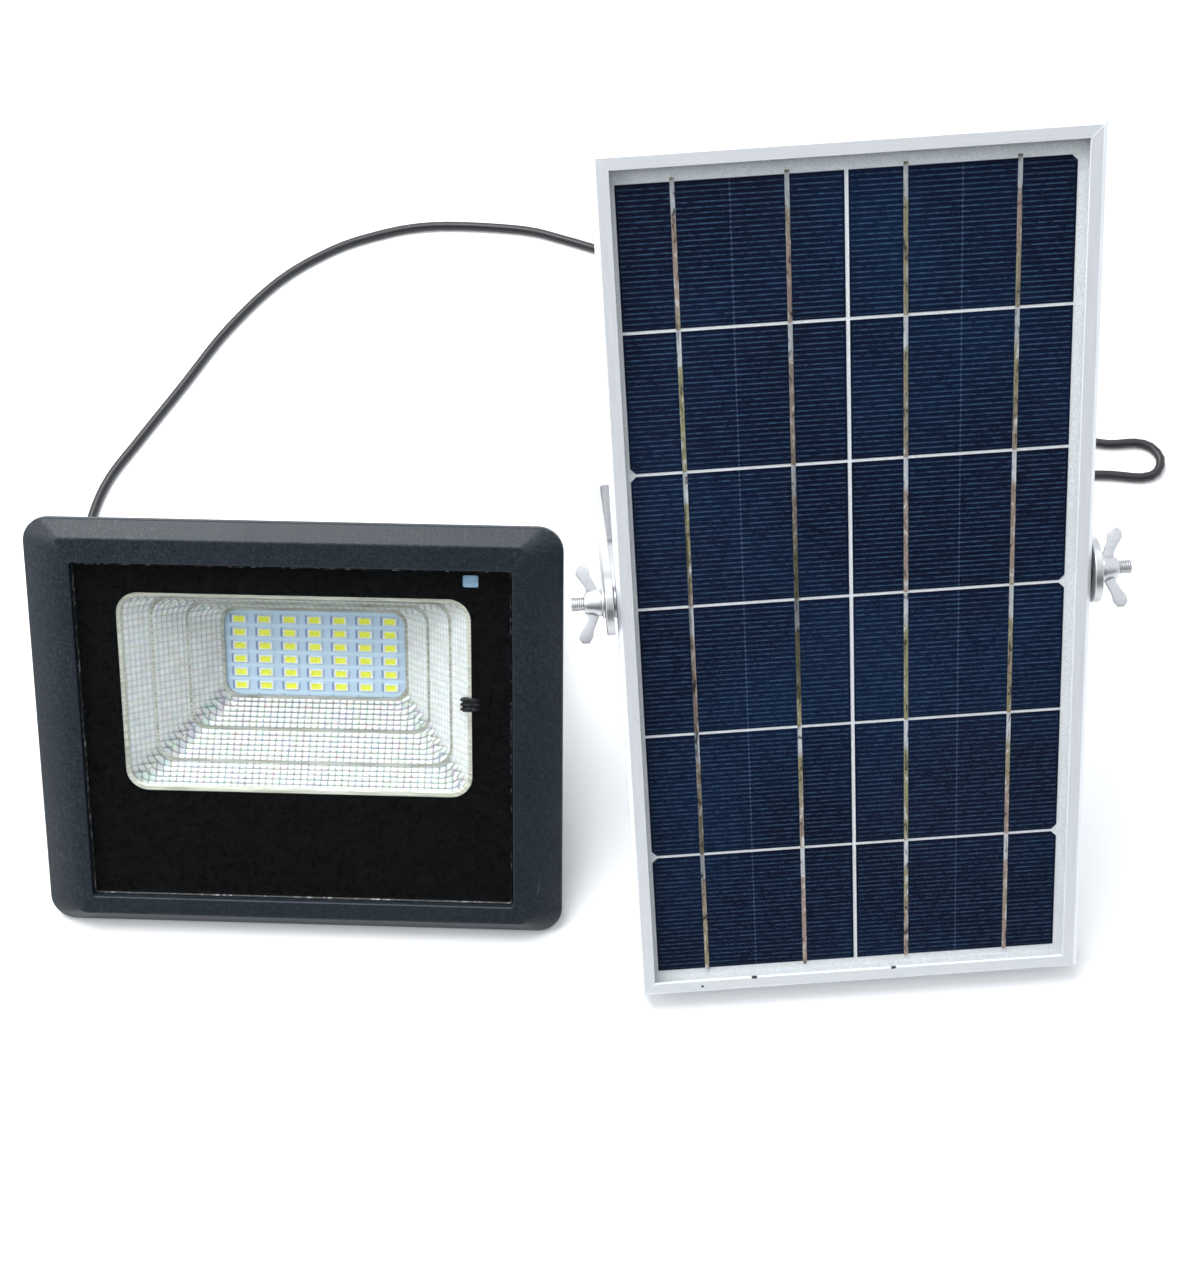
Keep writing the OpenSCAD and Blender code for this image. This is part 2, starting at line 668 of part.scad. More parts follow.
module cell_ribbons() {
    color("#c8c4bb") in_panel() for (c = [-1, 1], k = [-1, 1])
        translate([c * (solar_w + solar_gap_x) / 2 + k * solar_w / 4 - solar_left, -solar_down, 0])
            slab(1.6, cells_span_y + 3, 0.3, cover_back, cells_front);
}
module backsheet() {
    color("white") in_panel() slab(laminate_w, laminate_h, 1, cells_back, sheet_back);
}
module panel_sealant() {
    color("#e8e8e8") in_panel() difference() {
        slab(laminate_w, laminate_h, 1, sheet_back, shelf_z);
        slab(panel_w - 2 * shelf_w, panel_h - 2 * shelf_w, 1, sheet_back - fine, shelf_z + fine);
    }
}

// ---------- panel: junction box ----------

box_wall = 2;
lid_t = 2;
relief_z = (sheet_back + box_back) / 2;
module box_corners() {
    for (x = [-1, 1], y = [-1, 1])
        translate([x * (box_w / 2 - 5), box_up + y * (box_h / 2 - 5), 0]) children();
}
module junction_box() {
    color("#17181a") in_panel() difference() {
        union() {
            difference() {
                translate([0, box_up, 0]) slab(box_w, box_h, 4, sheet_back, box_back);
                translate([0, box_up, 0])
                    slab(box_w - 2 * box_wall, box_h - 2 * box_wall, 2, sheet_back + box_wall, box_back + 1);
            }
            box_corners() slab(8, 8, 2, sheet_back + 1, box_back);
        }
        box_corners() translate([0, 0, -box_back - 1]) cylinder(r = 1.5, h = 9);
        translate([box_w / 2 - box_wall - 1, box_up, -relief_z]) along_x(5, box_wall + 2);
    }
}
module junction_lid() {
    color("#17181a") in_panel() difference() {
        translate([0, box_up, 0]) slab(box_w, box_h, 4, box_back, box_back + lid_t);
        box_corners() translate([0, 0, -box_back - lid_t - 1]) cylinder(r = 1.7, h = lid_t + 2);
    }
}
module junction_screws() {
    color("silver") in_panel() box_corners() {
        slab(6, 6, 2.9, box_back + lid_t, box_back + lid_t + 1.8);
        translate([0, 0, -box_back - lid_t]) cylinder(r = 1.5, h = lid_t + 7);
    }
}
module junction_terminals() {
    color("#c9a24a") in_panel() translate([0, box_up, 0]) {
        for (x = [-12, 12]) translate([x, 0, 0]) slab(9, 16, 1, sheet_back + box_wall, sheet_back + box_wall + 6);
        translate([-7.5, 0, -sheet_back - box_wall - 4]) along_x(1.6, 15);
    }
}
module panel_strain_relief() {
    color("#141414") in_panel() translate([box_w / 2 - box_wall, box_up, -relief_z]) {
        along_x(5, box_wall + fine);
        translate([box_wall, 0, 0]) along_x(6.5, 3);
        translate([box_wall + 3, 0, 0]) rotate([0, 90, 0])
            cylinder(r1 = 5.5, r2 = cord_r + 0.8, h = relief_l - 3);
    }
}

// ---------- panel: pivot ----------

arm_in = panel_w / 2 + washer_t + turn_gap;
arm_out = arm_in + panel_strip_t;
nut_x = arm_out + turn_gap + washer_t + 0.05;
module panel_pivot_bolts() {
    color("silver") in_panel() both_sides() translate([panel_w / 2 - frame_wall, 0, -panel_pivot_z]) {
        translate([-1, 0, 0]) along_x(panel_bolt_r, nut_x + nut_l + bolt_over - panel_w / 2 + frame_wall + 1);
        translate([-3.5, 0, 0]) rotate([30, 0, 0]) along_x(panel_bolt_r * 1.8, 3.5, 6);
    }
}
module panel_washers() {
    color("silver") in_panel() both_sides() for (x = [panel_w / 2, arm_out + turn_gap])
        translate([x, 0, -panel_pivot_z]) difference() {
            along_x(6, washer_t);
            translate([-fine, 0, 0]) along_x(panel_bolt_r, washer_t + 2 * fine);
        }
}
// A wing nut on the X axis, with its seat at x = 0 and its wings out along +X.
module wing_nut() {
    difference() {
        union() {
            along_x(5, nut_l);
            for (a = [-1, 1]) hull() {
                translate([1.5, a * 3.5, -0.9]) cube([3.5, 1, 1.8]);
                translate([6.5, a * 12, -0.8]) cylinder(r = 3.2, h = 1.6, $fn = 24);
            }
        }
        translate([-1, 0, 0]) along_x(panel_bolt_r + 0.08, nut_l + 2);
    }
}
module right_wing_nut() {
    color("silver") in_panel() translate([nut_x, 0, -panel_pivot_z]) rotate([-28, 0, 0]) wing_nut();
}
module left_wing_nut() {
    color("silver") in_panel() mirror([1, 0, 0]) translate([nut_x, 0, -panel_pivot_z])
        rotate([-24, 0, 0]) wing_nut();
}
module panel_bracket() {
    color("#b9bcc0") translate([panel_x, panel_y, panel_z]) rotate([0, 0, panel_yaw])
        translate([0, panel_pivot_z * cos(panel_lean), -panel_pivot_z * sin(panel_lean)])
            rotate([panel_turn, 0, 0])
                u_bracket(panel_span, panel_arm, panel_strip, panel_strip_t, panel_bolt_r + 0.1, panel_base_span);
}

// ---------- cable ----------

module lamp_lead() { color("#111111") tube(lamp_route, cord_r, cord_sides); }
module panel_lead() { color("#111111") tube(panel_route, cord_r, cord_sides); }
module panel_drop_lead() { color("#111111") tube(drop_route, cord_r, cord_sides); }

// The waterproof connector lies along X between the two leads.
plug_at = lamp_route[len(lamp_route) - 1];
plug_l = 30;
ring_l = 16;
socket_l = panel_route[0][0] - plug_at[0] - plug_l;
module lamp_plug() {
    color("#151515") translate(plug_at) {
        rotate([0, 90, 0]) cylinder(r1 = cord_r + 1, r2 = 4.5, h = 10);
        translate([10, 0, 0]) along_x(5.6, plug_l - 10);
    }
}
module coupling_ring() {
    color("#151515") translate(plug_at + [plug_l - ring_l - 0.1, 0, 0]) difference() {
        along_x(plug_r, ring_l, 40);
        translate([-1, 0, 0]) along_x(5.68, ring_l + 2);
    }
}
module panel_socket() {
    color("#151515") translate(plug_at + [plug_l, 0, 0]) {
        along_x(plug_r, 6, 40);
        translate([6, 0, 0]) along_x(5.6, socket_l - 16);
        translate([socket_l - 10, 0, 0]) rotate([0, 90, 0]) cylinder(r1 = 4.5, r2 = cord_r + 1, h = 10);
    }
}
module lead_coil() {
    width = coil_turns * cord_d;
    height = coil_layers * cord_d;
    color("#111111") translate(coil_at) rotate_extrude($fn = 72)
        translate([coil_mid, height / 2]) round_rect(width, height, cord_r);
}
module coil_tie() {
    width = coil_turns * cord_d + 1.2;
    height = coil_layers * cord_d;
    color("#222222") translate(coil_at) rotate([0, 0, 200]) translate([coil_mid, 2.5, height / 2])
        rotate([90, 0, 0]) linear_extrude(5) difference() {
            round_rect(width + 2, height, 2.5);
            round_rect(width, height - 2, 1.5);
        }
}

front_bezel();
front_glass();
glass_print();
glass_seal();
reflector();
reflector_clip();
led_board();
led_packages();
led_board_screws();
lamp_housing();
housing_screws();
battery_cells();
battery_cradles();
battery_wires();
control_board();
control_parts();
sensor_module();
lamp_gland();
lamp_gland_nut();
lamp_gland_seal();
lamp_pivot_bolts();
lamp_pivot_washers();
lamp_bracket();
frame_left();
frame_right();
frame_top();
frame_bottom();
corner_keys();
panel_glass();
cell_ribbons();
solar_cells();
backsheet();
panel_sealant();
junction_box();
junction_lid();
junction_screws();
junction_terminals();
panel_strain_relief();
panel_pivot_bolts();
panel_washers();
left_wing_nut();
right_wing_nut();
panel_bracket();
lamp_lead();
lamp_plug();
coupling_ring();
panel_socket();
panel_lead();
lead_coil();
coil_tie();
panel_drop_lead();
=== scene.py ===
"""Solar flood light: the looks of the lamp, the panel and their cable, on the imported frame."""

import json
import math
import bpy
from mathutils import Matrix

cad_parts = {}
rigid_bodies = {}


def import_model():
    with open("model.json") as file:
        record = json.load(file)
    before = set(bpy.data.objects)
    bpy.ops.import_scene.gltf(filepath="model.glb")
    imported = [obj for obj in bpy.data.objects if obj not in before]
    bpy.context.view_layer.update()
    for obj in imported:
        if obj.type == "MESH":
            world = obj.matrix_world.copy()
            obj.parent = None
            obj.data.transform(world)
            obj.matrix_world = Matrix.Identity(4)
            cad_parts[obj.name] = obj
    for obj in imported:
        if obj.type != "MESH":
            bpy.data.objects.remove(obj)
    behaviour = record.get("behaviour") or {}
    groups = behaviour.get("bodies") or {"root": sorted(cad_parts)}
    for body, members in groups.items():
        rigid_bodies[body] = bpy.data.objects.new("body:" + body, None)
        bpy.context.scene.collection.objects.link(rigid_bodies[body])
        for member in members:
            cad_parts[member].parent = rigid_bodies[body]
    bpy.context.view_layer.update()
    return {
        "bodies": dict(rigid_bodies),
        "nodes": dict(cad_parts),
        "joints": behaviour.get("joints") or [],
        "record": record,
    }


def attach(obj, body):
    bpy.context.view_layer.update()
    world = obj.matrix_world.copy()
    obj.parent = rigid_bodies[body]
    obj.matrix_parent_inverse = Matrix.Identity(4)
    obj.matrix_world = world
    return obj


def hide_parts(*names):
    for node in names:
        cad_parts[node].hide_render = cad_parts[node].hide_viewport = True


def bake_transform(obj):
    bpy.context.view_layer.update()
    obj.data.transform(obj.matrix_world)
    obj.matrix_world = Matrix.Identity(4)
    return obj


bl_info = {
    "name": "Solar Flood Light",
    "version": (1, 0, 0),
    "blender": (4, 5, 0),
    "location": "3D View > Sidebar > Solar Flood Light",
    "description": "Builds a flood lamp and its solar panel, with their brackets and cable",
    "category": "Object",
}

from functools import partial

import bmesh
import bpy
from bpy.props import FloatProperty, FloatVectorProperty, IntProperty, IntVectorProperty, PointerProperty
from mathutils import Euler, Matrix, Vector

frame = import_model()
MM = 0.001


def length(name, description, default):
    return FloatProperty(name=name, description=description, default=default, unit="LENGTH", precision=5)


def place(name, description, default):
    return FloatVectorProperty(name=name, description=description, default=default, subtype="TRANSLATION")


def paint(name, description, default):
    return FloatVectorProperty(name=name, description=description, default=default, subtype="COLOR", min=0, max=1)


def sizes(name, description, default):
    return FloatVectorProperty(name=name, description=description, size=len(default), default=default, unit="LENGTH")


def angle(name, description, degrees):
    return FloatProperty(name=name, description=description, default=math.radians(degrees), subtype="ANGLE")


# ---------------------------------------------------------------- settings


class LampSettings(bpy.types.PropertyGroup):
    """Sizes and colours of the lamp head."""

    centre: place("Centre", "Middle of the lamp's face", (-0.106, -0.039, 0.067759))
    lean: angle("Lean", "Lean of the lamp's face from upright", 45.5)
    width: length("Width", "Width of the bezel", 0.212)
    height: length("Height", "Height of the bezel", 0.173)
    corner: length("Corner", "Corner radius of the bezel", 0.010)
    slope_side: length("Side slope", "Width of the bezel's slope at the sides", 0.0125)
    slope_end: length("End slope", "Width of the bezel's slope at the top and bottom", 0.006)
    slope_rise: length("Slope rise", "Depth of the bezel's slope", 0.007)
    rim_back: length("Rim back", "Depth of the whole bezel", 0.010)
    recess_width: length("Recess width", "Width of the recess for the glass", 0.173)
    recess_height: length("Recess height", "Height of the recess for the glass", 0.1435)
    recess_drop: length("Recess drop", "How far the recess sits below the middle", 0.00125)
    step: length("Step", "Width of the step that carries the glass", 0.0025)
    step_depth: length("Step depth", "Depth of the step that carries the glass", 0.0057)
    glass_set: length("Glass set", "Depth of the glass behind the face", 0.0015)
    glass_thick: length("Glass thickness", "Thickness of the glass", 0.0032)
    window_width: length("Window width", "Width of the clear window", 0.140)
    window_height: length("Window height", "Height of the clear window", 0.084)
    window_corner: length("Window corner", "Corner radius of the clear window", 0.009)
    window_up: length("Window up", "Height of the window's middle above the face's middle", 0.01575)
    opening_width: length("Opening width", "Width of the opening over the LEDs", 0.0735)
    opening_height: length("Opening height", "Height of the opening over the LEDs", 0.037)
    opening_up: length("Opening up", "Height of the opening above the window's middle", 0.0093)
    opening_right: length("Opening right", "How far the opening sits to the right of the middle", 0.0041)
    reflector_front: length("Reflector front", "Depth of the reflector's front", 0.0049)
    reflector_depth: length("Reflector depth", "Depth of the reflector's tiers", 0.0235)
    reflector_wall: length("Reflector wall", "Wall of the reflector", 0.0015)
    board_depth: length("Board depth", "Depth of the LED board's face", 0.0299)
    led_pitch: sizes("LED pitch", "Distance between LEDs", (0.0102, 0.0057))
    led_count: IntVectorProperty(name="LED count", description="Columns and rows of LEDs", size=2, default=(7, 6))
    coat: paint("Coat", "Colour of the powder coat", (0.0065, 0.0112, 0.0165))
    rim: length("Rim", "Width of the reflector's rim round the window", 0.0019)
    led_light: paint("LED phosphor", "Colour of the LEDs' phosphor", (0.94, 0.98, 0.085))
    board_mask: paint("Board mask", "Colour of the LED board", (0.58, 0.73, 0.90))


class PanelSettings(bpy.types.PropertyGroup):
    """Sizes and colours of the solar panel."""

    centre: place("Centre", "Middle of the panel's front", (0.110, -0.0075, 0.140512))
    lean: angle("Lean", "Lean of the panel's face from upright", 40)
    yaw: angle("Turn", "Turn of the panel about the vertical", 5.8)
    width: length("Width", "Width of the frame", 0.176)
    height: length("Height", "Length of the frame", 0.340)
    depth: length("Depth", "Depth of the frame", 0.016)
    wall: length("Wall", "Wall of the frame", 0.0015)
    lip: length("Lip", "Width of the frame's front lip", 0.006)
    slope: length("Slope", "Width of the slope on the frame's front outer edge", 0.0016)
    lip_thick: length("Lip thickness", "Thickness of the frame's lips", 0.0012)
    back_lip: length("Back lip", "Width of the frame's back flange", 0.014)
    shelf_depth: length("Shelf depth", "Depth of the shelf under the laminate", 0.005)
    shelf: length("Shelf", "Width of the shelf under the laminate", 0.009)
    finger_pitch: length("Finger pitch", "Distance between the silver lines on a cell", 0.0019)
    cell_size: sizes("Cell size", "Width and height of a cell", (0.0787, 0.0520))
    cell_pitch: sizes("Cell pitch", "Distance between the middles of two cells", (0.0801, 0.0532))
    cells_left: length("Cells left", "How far the cells sit to the left of the middle", 0.0009)
    cells_down: length("Cells down", "How far the cells sit below the middle", 0.0008)
    pivot_depth: length("Pivot depth", "Depth of the pivot bolts", 0.0105)
    nut_seat: length("Nut seat", "Distance of a wing nut's seat from the middle", 0.09345)
    left_turn: angle("Left nut turn", "Turn of the left wing nut", -24)
    right_turn: angle("Right nut turn", "Turn of the right wing nut", -28)
    silicon: paint("Silicon", "Colour of the cells", (0.0009, 0.0040, 0.019))
    anodised: paint("Anodised", "Colour of the frame", (0.80, 0.83, 0.86))


class CableSettings(bpy.types.PropertyGroup):
    """Sizes and colour of the cable."""

    diameter: length("Diameter", "Diameter of the cable", 0.004)
    lamp_length: length("Lamp lead", "Length of the lamp's lead", 0.50)
    panel_length: length("Panel cable", "Length of the panel's cable, with its coil", 4.40)
    coil_centre: place("Coil centre", "Middle of the coil on the ground", (0.126, 0.183, 0.0))
    coil_inner: length("Inner turn", "Radius of the coil's inmost turn", 0.019)
    coil_turns: IntProperty(name="Turns", description="Turns side by side in the coil", default=6)
    jacket: paint("Jacket", "Colour of the cable's jacket", (0.012, 0.012, 0.014))


class StageSettings(bpy.types.PropertyGroup):
    """Camera, floor and light."""

    camera_place: place("Camera", "Place of the camera", (0.0440, -0.3697, 0.8735))
    camera_forward: FloatVectorProperty(name="Forward", description="Where the camera looks", default=(-0.0383, 0.4226, -0.9055))
    camera_right: FloatVectorProperty(name="Right", description="The camera's right side", default=(0.9990, 0.0369, -0.0250))
    lens: FloatProperty(name="Lens", description="Focal length in millimetres", default=61.875)
    floor_size: length("Floor", "Width of the floor", 12.0)
    floor_colour: paint("Floor colour", "Colour of the floor", (0.86, 0.865, 0.87))
    key_power: FloatProperty(name="Key power", description="Power of the key light", default=42.0, unit="POWER")
    fill_power: FloatProperty(name="Fill power", description="Power of the fill light", default=8.0, unit="POWER")
    sky: FloatProperty(name="Sky", description="Strength of the light from all round", default=1.15)


GROUPS = {
    "flood_lamp": LampSettings, "flood_panel": PanelSettings, "flood_cable": CableSettings, "flood_stage": StageSettings,
}

# Places along the middle of the cable, in millimetres, as in the part's source.
LAMP_ROUTE = [
    (-166, -0.3, 28.3), (-166.2, 5, 22.6), (-167.5, 11, 16.6), (-171, 17, 10.4), (-177, 22, 5.6),
    (-185, 25, 3.1), (-194, 28, 2), (-202, 33, 2), (-209, 40, 2), (-215, 50, 2), (-219, 63, 2),
    (-221, 79, 2), (-220.5, 95, 2), (-215.5, 113, 2), (-204, 134, 2), (-188, 162, 2),
    (-170, 194, 2), (-148, 222, 2), (-124, 240, 2), (-103, 249, 2), (-83, 254, 2), (-61, 255, 2),
    (-32, 253, 2), (-15, 248.5, 2), (2, 243, 2), (19, 237.5, 2), (34, 234.3, 2.4), (47, 233, 4.4), (58, 233, 7),
]
PANEL_ROUTE = [
    (132, 233, 7), (142, 233, 4.4), (154, 231, 2.2), (168, 225, 2), (181, 215.5, 2), (191, 202, 2),
    (199, 185, 2), (206, 168, 2), (214, 153, 2), (225, 144, 2), (238, 141, 2), (250, 142, 2),
    (257, 140, 2), (261, 134, 2), (259, 127, 2), (252, 124, 2), (238, 125, 2), (224, 125, 2),
    (208, 126, 2), (190, 130, 2), (170, 135, 2), (150, 141, 2), (138, 143.5, 2), (126, 144, 2),
]
DROP_ROUTE = [
    (165, 183, 14), (165, 174, 14), (165, 164, 15), (166, 152, 20), (167, 141, 32), (168, 130, 52),
    (169, 120, 76), (171, 110, 102), (173, 100, 128), (175, 90, 152), (176, 80, 172), (176.5, 71.5, 185),
    (172.5, 66, 193.6), (166, 63.8, 196.8), (158.4, 62.9, 196.8),
]


def lamp_frame():
    s = bpy.context.scene.flood_lamp
    return Matrix.Translation(s.centre) @ Matrix.Rotation(math.pi / 2 - s.lean, 4, "X")


def panel_frame():
    s = bpy.context.scene.flood_panel
    turn = Matrix.Rotation(s.yaw, 4, "Z") @ Matrix.Rotation(math.pi / 2 - s.lean, 4, "X")
    return Matrix.Translation(s.centre) @ turn


# ---------------------------------------------------------------- shapes


def outline(bm, width, height, corner, z, up=0.0, across=0.0, steps=6):
    """A rectangle with round corners as a loop of edges."""
    verts = bmesh.ops.create_grid(bm, x_segments=1, y_segments=1, size=0.5)["verts"]
    bmesh.ops.scale(bm, vec=(width, height, 1), verts=verts)
    bmesh.ops.translate(bm, vec=(across, up, z), verts=verts)
    face = verts[0].link_faces[0]
    if corner > 0:
        made = bmesh.ops.bevel(
            bm, geom=verts, offset=corner, offset_type="OFFSET", segments=steps,
            profile=0.5, affect="VERTICES", material=-1,
        )
        face = made["verts"][0].link_faces[0]
    edges = list(face.edges)
    bmesh.ops.delete(bm, geom=[face], context="FACES_ONLY")
    return edges


def loft(bm, rings, ring_shape=False, caps=(True, True), steps=6):
    """Joins outlines one after another, and gives the faces of each band. ring_shape joins the last to the first."""
    loops = [outline(bm, *ring, steps=steps) for ring in rings]
    bands = [
        bmesh.ops.bridge_loops(bm, edges=a + b)["faces"]
        for a, b in zip(loops, loops[1:] + (loops[:1] if ring_shape else []))
    ]
    if not ring_shape:
        for keep, loop in zip(caps, (loops[0], loops[-1])):
            if keep:
                bmesh.ops.contextual_create(bm, geom=loop)
    return bands


def turned(bm, profile, steps=40):
    """A lathed solid about X: profile is (along, radius) from one end of the axis to the other."""
    rows = [bm.verts.new((a, 0, r)) for a, r in profile]
    edges = [bm.edges.new(pair) for pair in zip(rows, rows[1:])]
    bmesh.ops.spin(
        bm, geom=rows + edges, cent=(0, 0, 0), axis=(1, 0, 0), dvec=(0, 0, 0),
        angle=math.tau, steps=steps, use_merge=True,
    )
    fresh = [v for v in bm.verts if v.is_valid]
    bmesh.ops.remove_doubles(bm, verts=fresh, dist=1e-7)


def block(bm, size, centre, bevel=0.0, segments=2):
    """A box with its edges broken."""
    verts = bmesh.ops.create_cube(bm, size=1)["verts"]
    bmesh.ops.scale(bm, vec=size, verts=verts)
    bmesh.ops.translate(bm, vec=centre, verts=verts)
    if bevel:
        edges = list({e for v in verts for e in v.link_edges})
        bmesh.ops.bevel(
            bm, geom=edges, offset=bevel, offset_type="OFFSET", segments=segments,
            profile=0.5, affect="EDGES", material=-1,
        )
    return verts


def new_part():
    return bmesh.new()


def finish_part(bm, name, body, materials, place=None, replaces=(), bevel=0.0, segments=2, smooth=40, uv=None):
    """Turns a bmesh into a piece on a body, in its place in the row frame."""
    bmesh.ops.recalc_face_normals(bm, faces=bm.faces)
    if uv:
        uv(bm)
    if place is not None:
        bmesh.ops.transform(bm, matrix=place, verts=bm.verts)
    mesh = bpy.data.meshes.new(name)
    bm.to_mesh(mesh)
    bm.free()
    for material in materials:
        mesh.materials.append(material)
    mesh.shade_smooth()
    mesh.set_sharp_from_angle(angle=math.radians(smooth))
    piece = bpy.data.objects.new(name, mesh)
    bpy.context.scene.collection.objects.link(piece)
    if bevel:
        edge = piece.modifiers.new("Broken edges", "BEVEL")
        edge.width, edge.segments, edge.limit_method = bevel, segments, "ANGLE"
        edge.angle_limit = math.radians(35)
        edge.harden_normals = False
    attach(piece, body)
    if replaces:
        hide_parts(*replaces)
    return piece


# ---------------------------------------------------------------- node building


def add(tree, kind, settings=None, **inputs):
    node = tree.nodes.new(kind)
    for name, value in (settings or {}).items():
        setattr(node, name, value)
    for name, value in inputs.items():
        feed(tree, node.inputs[name.replace("_", " ")], value)
    return node


def feed(tree, socket, value):
    if isinstance(value, bpy.types.NodeSocket):
        tree.links.new(value, socket)
    else:
        socket.default_value = value


def calc(tree, operation, *values):
    node = tree.nodes.new("ShaderNodeMath")
    node.operation = operation
    for socket, value in zip(node.inputs, values):
        feed(tree, socket, value)
    return node.outputs[0]


def times(tree, a, b):
    return calc(tree, "MULTIPLY", a, b)


def plus(tree, a, b):
    return calc(tree, "ADD", a, b)


def stretched(tree, vector, scale, **more):
    """The same coordinates, stretched and turned."""
    return add(tree, "ShaderNodeMapping", Vector=vector, Scale=scale, **more).outputs[0]


def tint(tree, factor, a, b, blend="MIX"):
    node = tree.nodes.new("ShaderNodeMix")
    node.data_type, node.blend_type = "RGBA", blend
    for index, value in ((0, factor), (6, a), (7, b)):
        if not isinstance(value, bpy.types.NodeSocket) and index and len(value) == 3:
            value = (*value, 1)
        feed(tree, node.inputs[index], value)
    return node.outputs[2]


def remap(tree, value, low, high, to_low=0.0, to_high=1.0):
    ends = {"From_Min": low, "From_Max": high, "To_Min": to_low, "To_Max": to_high}
    return add(tree, "ShaderNodeMapRange", Value=value, **ends).outputs[0]


def noise(tree, vector, scale, detail=3.0, rough=0.55, distortion=0.0):
    looks = {"Scale": scale, "Detail": detail, "Roughness": rough, "Distortion": distortion}
    return add(tree, "ShaderNodeTexNoise", Vector=vector, **looks).outputs["Fac"]


def split(tree, vector):
    return add(tree, "ShaderNodeSeparateXYZ", Vector=vector).outputs


def make_group(name, inputs, outputs, build):
    """A shader node group; build gets its tree and inputs and gives its outputs by name."""
    tree = bpy.data.node_groups.new(name, "ShaderNodeTree")
    for label, kind, value in inputs:
        socket = tree.interface.new_socket(label, in_out="INPUT", socket_type=kind)
        if value is not None:
            socket.default_value = value
    for label, kind in outputs:
        tree.interface.new_socket(label, in_out="OUTPUT", socket_type=kind)
    start, end = tree.nodes.new("NodeGroupInput"), tree.nodes.new("NodeGroupOutput")
    for label, value in build(tree, start.outputs).items():
        feed(tree, end.inputs[label], value)
    return tree


def use(tree, group, **inputs):
    node = tree.nodes.new("ShaderNodeGroup")
    node.node_tree = bpy.data.node_groups[group]
    for name, value in inputs.items():
        feed(tree, node.inputs[name.replace("_", " ")], value)
    return node.outputs


V, F = "NodeSocketVector", "NodeSocketFloat"


def grain_group(tree, i):
    cells = add(
        tree, "ShaderNodeTexVoronoi", {"feature": "SMOOTH_F1"}, Vector=i["Vector"], Scale=i["Scale"], Smoothness=0.6,
    ).outputs["Distance"]
    soft = noise(tree, i["Vector"], times(tree, i["Scale"], 0.45), 4)
    height = plus(tree, times(tree, cells, 0.6), times(tree, soft, 0.7))
    return {"Height": height, "Speckle": remap(tree, height, 0.35, 0.85)}


def wear_group(tree, i):
    broad = noise(tree, i["Vector"], 14, 5, 0.6, 0.4)
    lines = noise(tree, stretched(tree, i["Vector"], (160, 9, 40), Rotation=(0.3, 0.5, 0.7)), 3.0, 2, 0.5, 0.3)
    return {
        "Smudge": times(tree, remap(tree, broad, 0.42, 0.72), i["Amount"]),
        "Scratch": times(tree, remap(tree, lines, 0.68, 0.75), i["Amount"]),
    }


def dust_group(tree, i):
    up = split(tree, add(tree, "ShaderNodeNewGeometry").outputs["Normal"])["Z"]
    fine = noise(tree, i["Vector"], 900, 3, 0.7)
    broad = noise(tree, i["Vector"], 22, 3)
    both = times(tree, remap(tree, fine, 0.52, 0.8), remap(tree, broad, 0.35, 0.7))
    return {"Mask": times(tree, times(tree, both, remap(tree, up, 0.1, 0.9)), i["Amount"])}


def brushed_group(tree, i):
    lines = noise(tree, stretched(tree, i["Vector"], i["Stretch"]), 1.0, 3, 0.6)
    return {"Height": lines, "Streak": remap(tree, lines, 0.3, 0.7)}


def thread_group(tree, i):
    turn = times(tree, i["Along"], calc(tree, "DIVIDE", math.tau, i["Pitch"]))
    wave = calc(tree, "SINE", turn)
    return {"Height": remap(tree, wave, -1, 1), "Shade": remap(tree, wave, -0.9, 0.2, 1, 0)}


def line_group(tree, i):
    near = calc(tree, "PINGPONG", i["Value"], times(tree, i["Pitch"], 0.5))
    return {"Mask": remap(tree, near, times(tree, i["Width"], 0.5), times(tree, i["Width"], 0.9), 1, 0)}


def make_groups():
    vec = ("Vector", V, None)
    make_group("Grain", [vec, ("Scale", F, 1200.0)], [("Height", F), ("Speckle", F)], grain_group)
    make_group("Handling Wear", [vec, ("Amount", F, 0.5)], [("Smudge", F), ("Scratch", F)], wear_group)
    make_group("Settled Dust", [vec, ("Amount", F, 0.3)], [("Mask", F)], dust_group)
    make_group("Brushed Lines", [vec, ("Stretch", V, (60, 2000, 2000))], [("Height", F), ("Streak", F)], brushed_group)
    make_group("Screw Thread", [("Along", F, 0.0), ("Pitch", F, 0.0008)], [("Height", F), ("Shade", F)], thread_group)
    make_group("Fine Line", [("Value", F, 0.0), ("Pitch", F, 0.002), ("Width", F, 0.0001)], [("Mask", F)], line_group)


# ---------------------------------------------------------------- finishes


def start_finish(name, colour=(0.5, 0.5, 0.5), roughness=0.5, metallic=0.0, **shader):
    material = bpy.data.materials.new(name)
    material.use_nodes = True
    tree = material.node_tree
    surface = tree.nodes["Principled BSDF"]
    surface.inputs["Base Color"].default_value = (*colour[:3], 1)
    surface.inputs["Roughness"].default_value = roughness
    surface.inputs["Metallic"].default_value = metallic
    for key, value in shader.items():
        surface.inputs[key.replace("_", " ")].default_value = value
    material.diffuse_color = (*colour[:3], 1)
    where = tree.nodes.new("ShaderNodeTexCoord").outputs["Object"]
    return material, tree, surface, where


def in_frame(tree, where, matrix):
    """Object coordinates turned into those of a leaning piece."""
    spot = {"Location": matrix.translation, "Rotation": matrix.to_euler()}
    return add(tree, "ShaderNodeMapping", {"vector_type": "TEXTURE"}, Vector=where, **spot).outputs[0]


def paint_on(tree, surface, tone):
    feed(tree, surface.inputs["Base Color"], tone)


def roughen(tree, surface, value):
    feed(tree, surface.inputs["Roughness"], value)


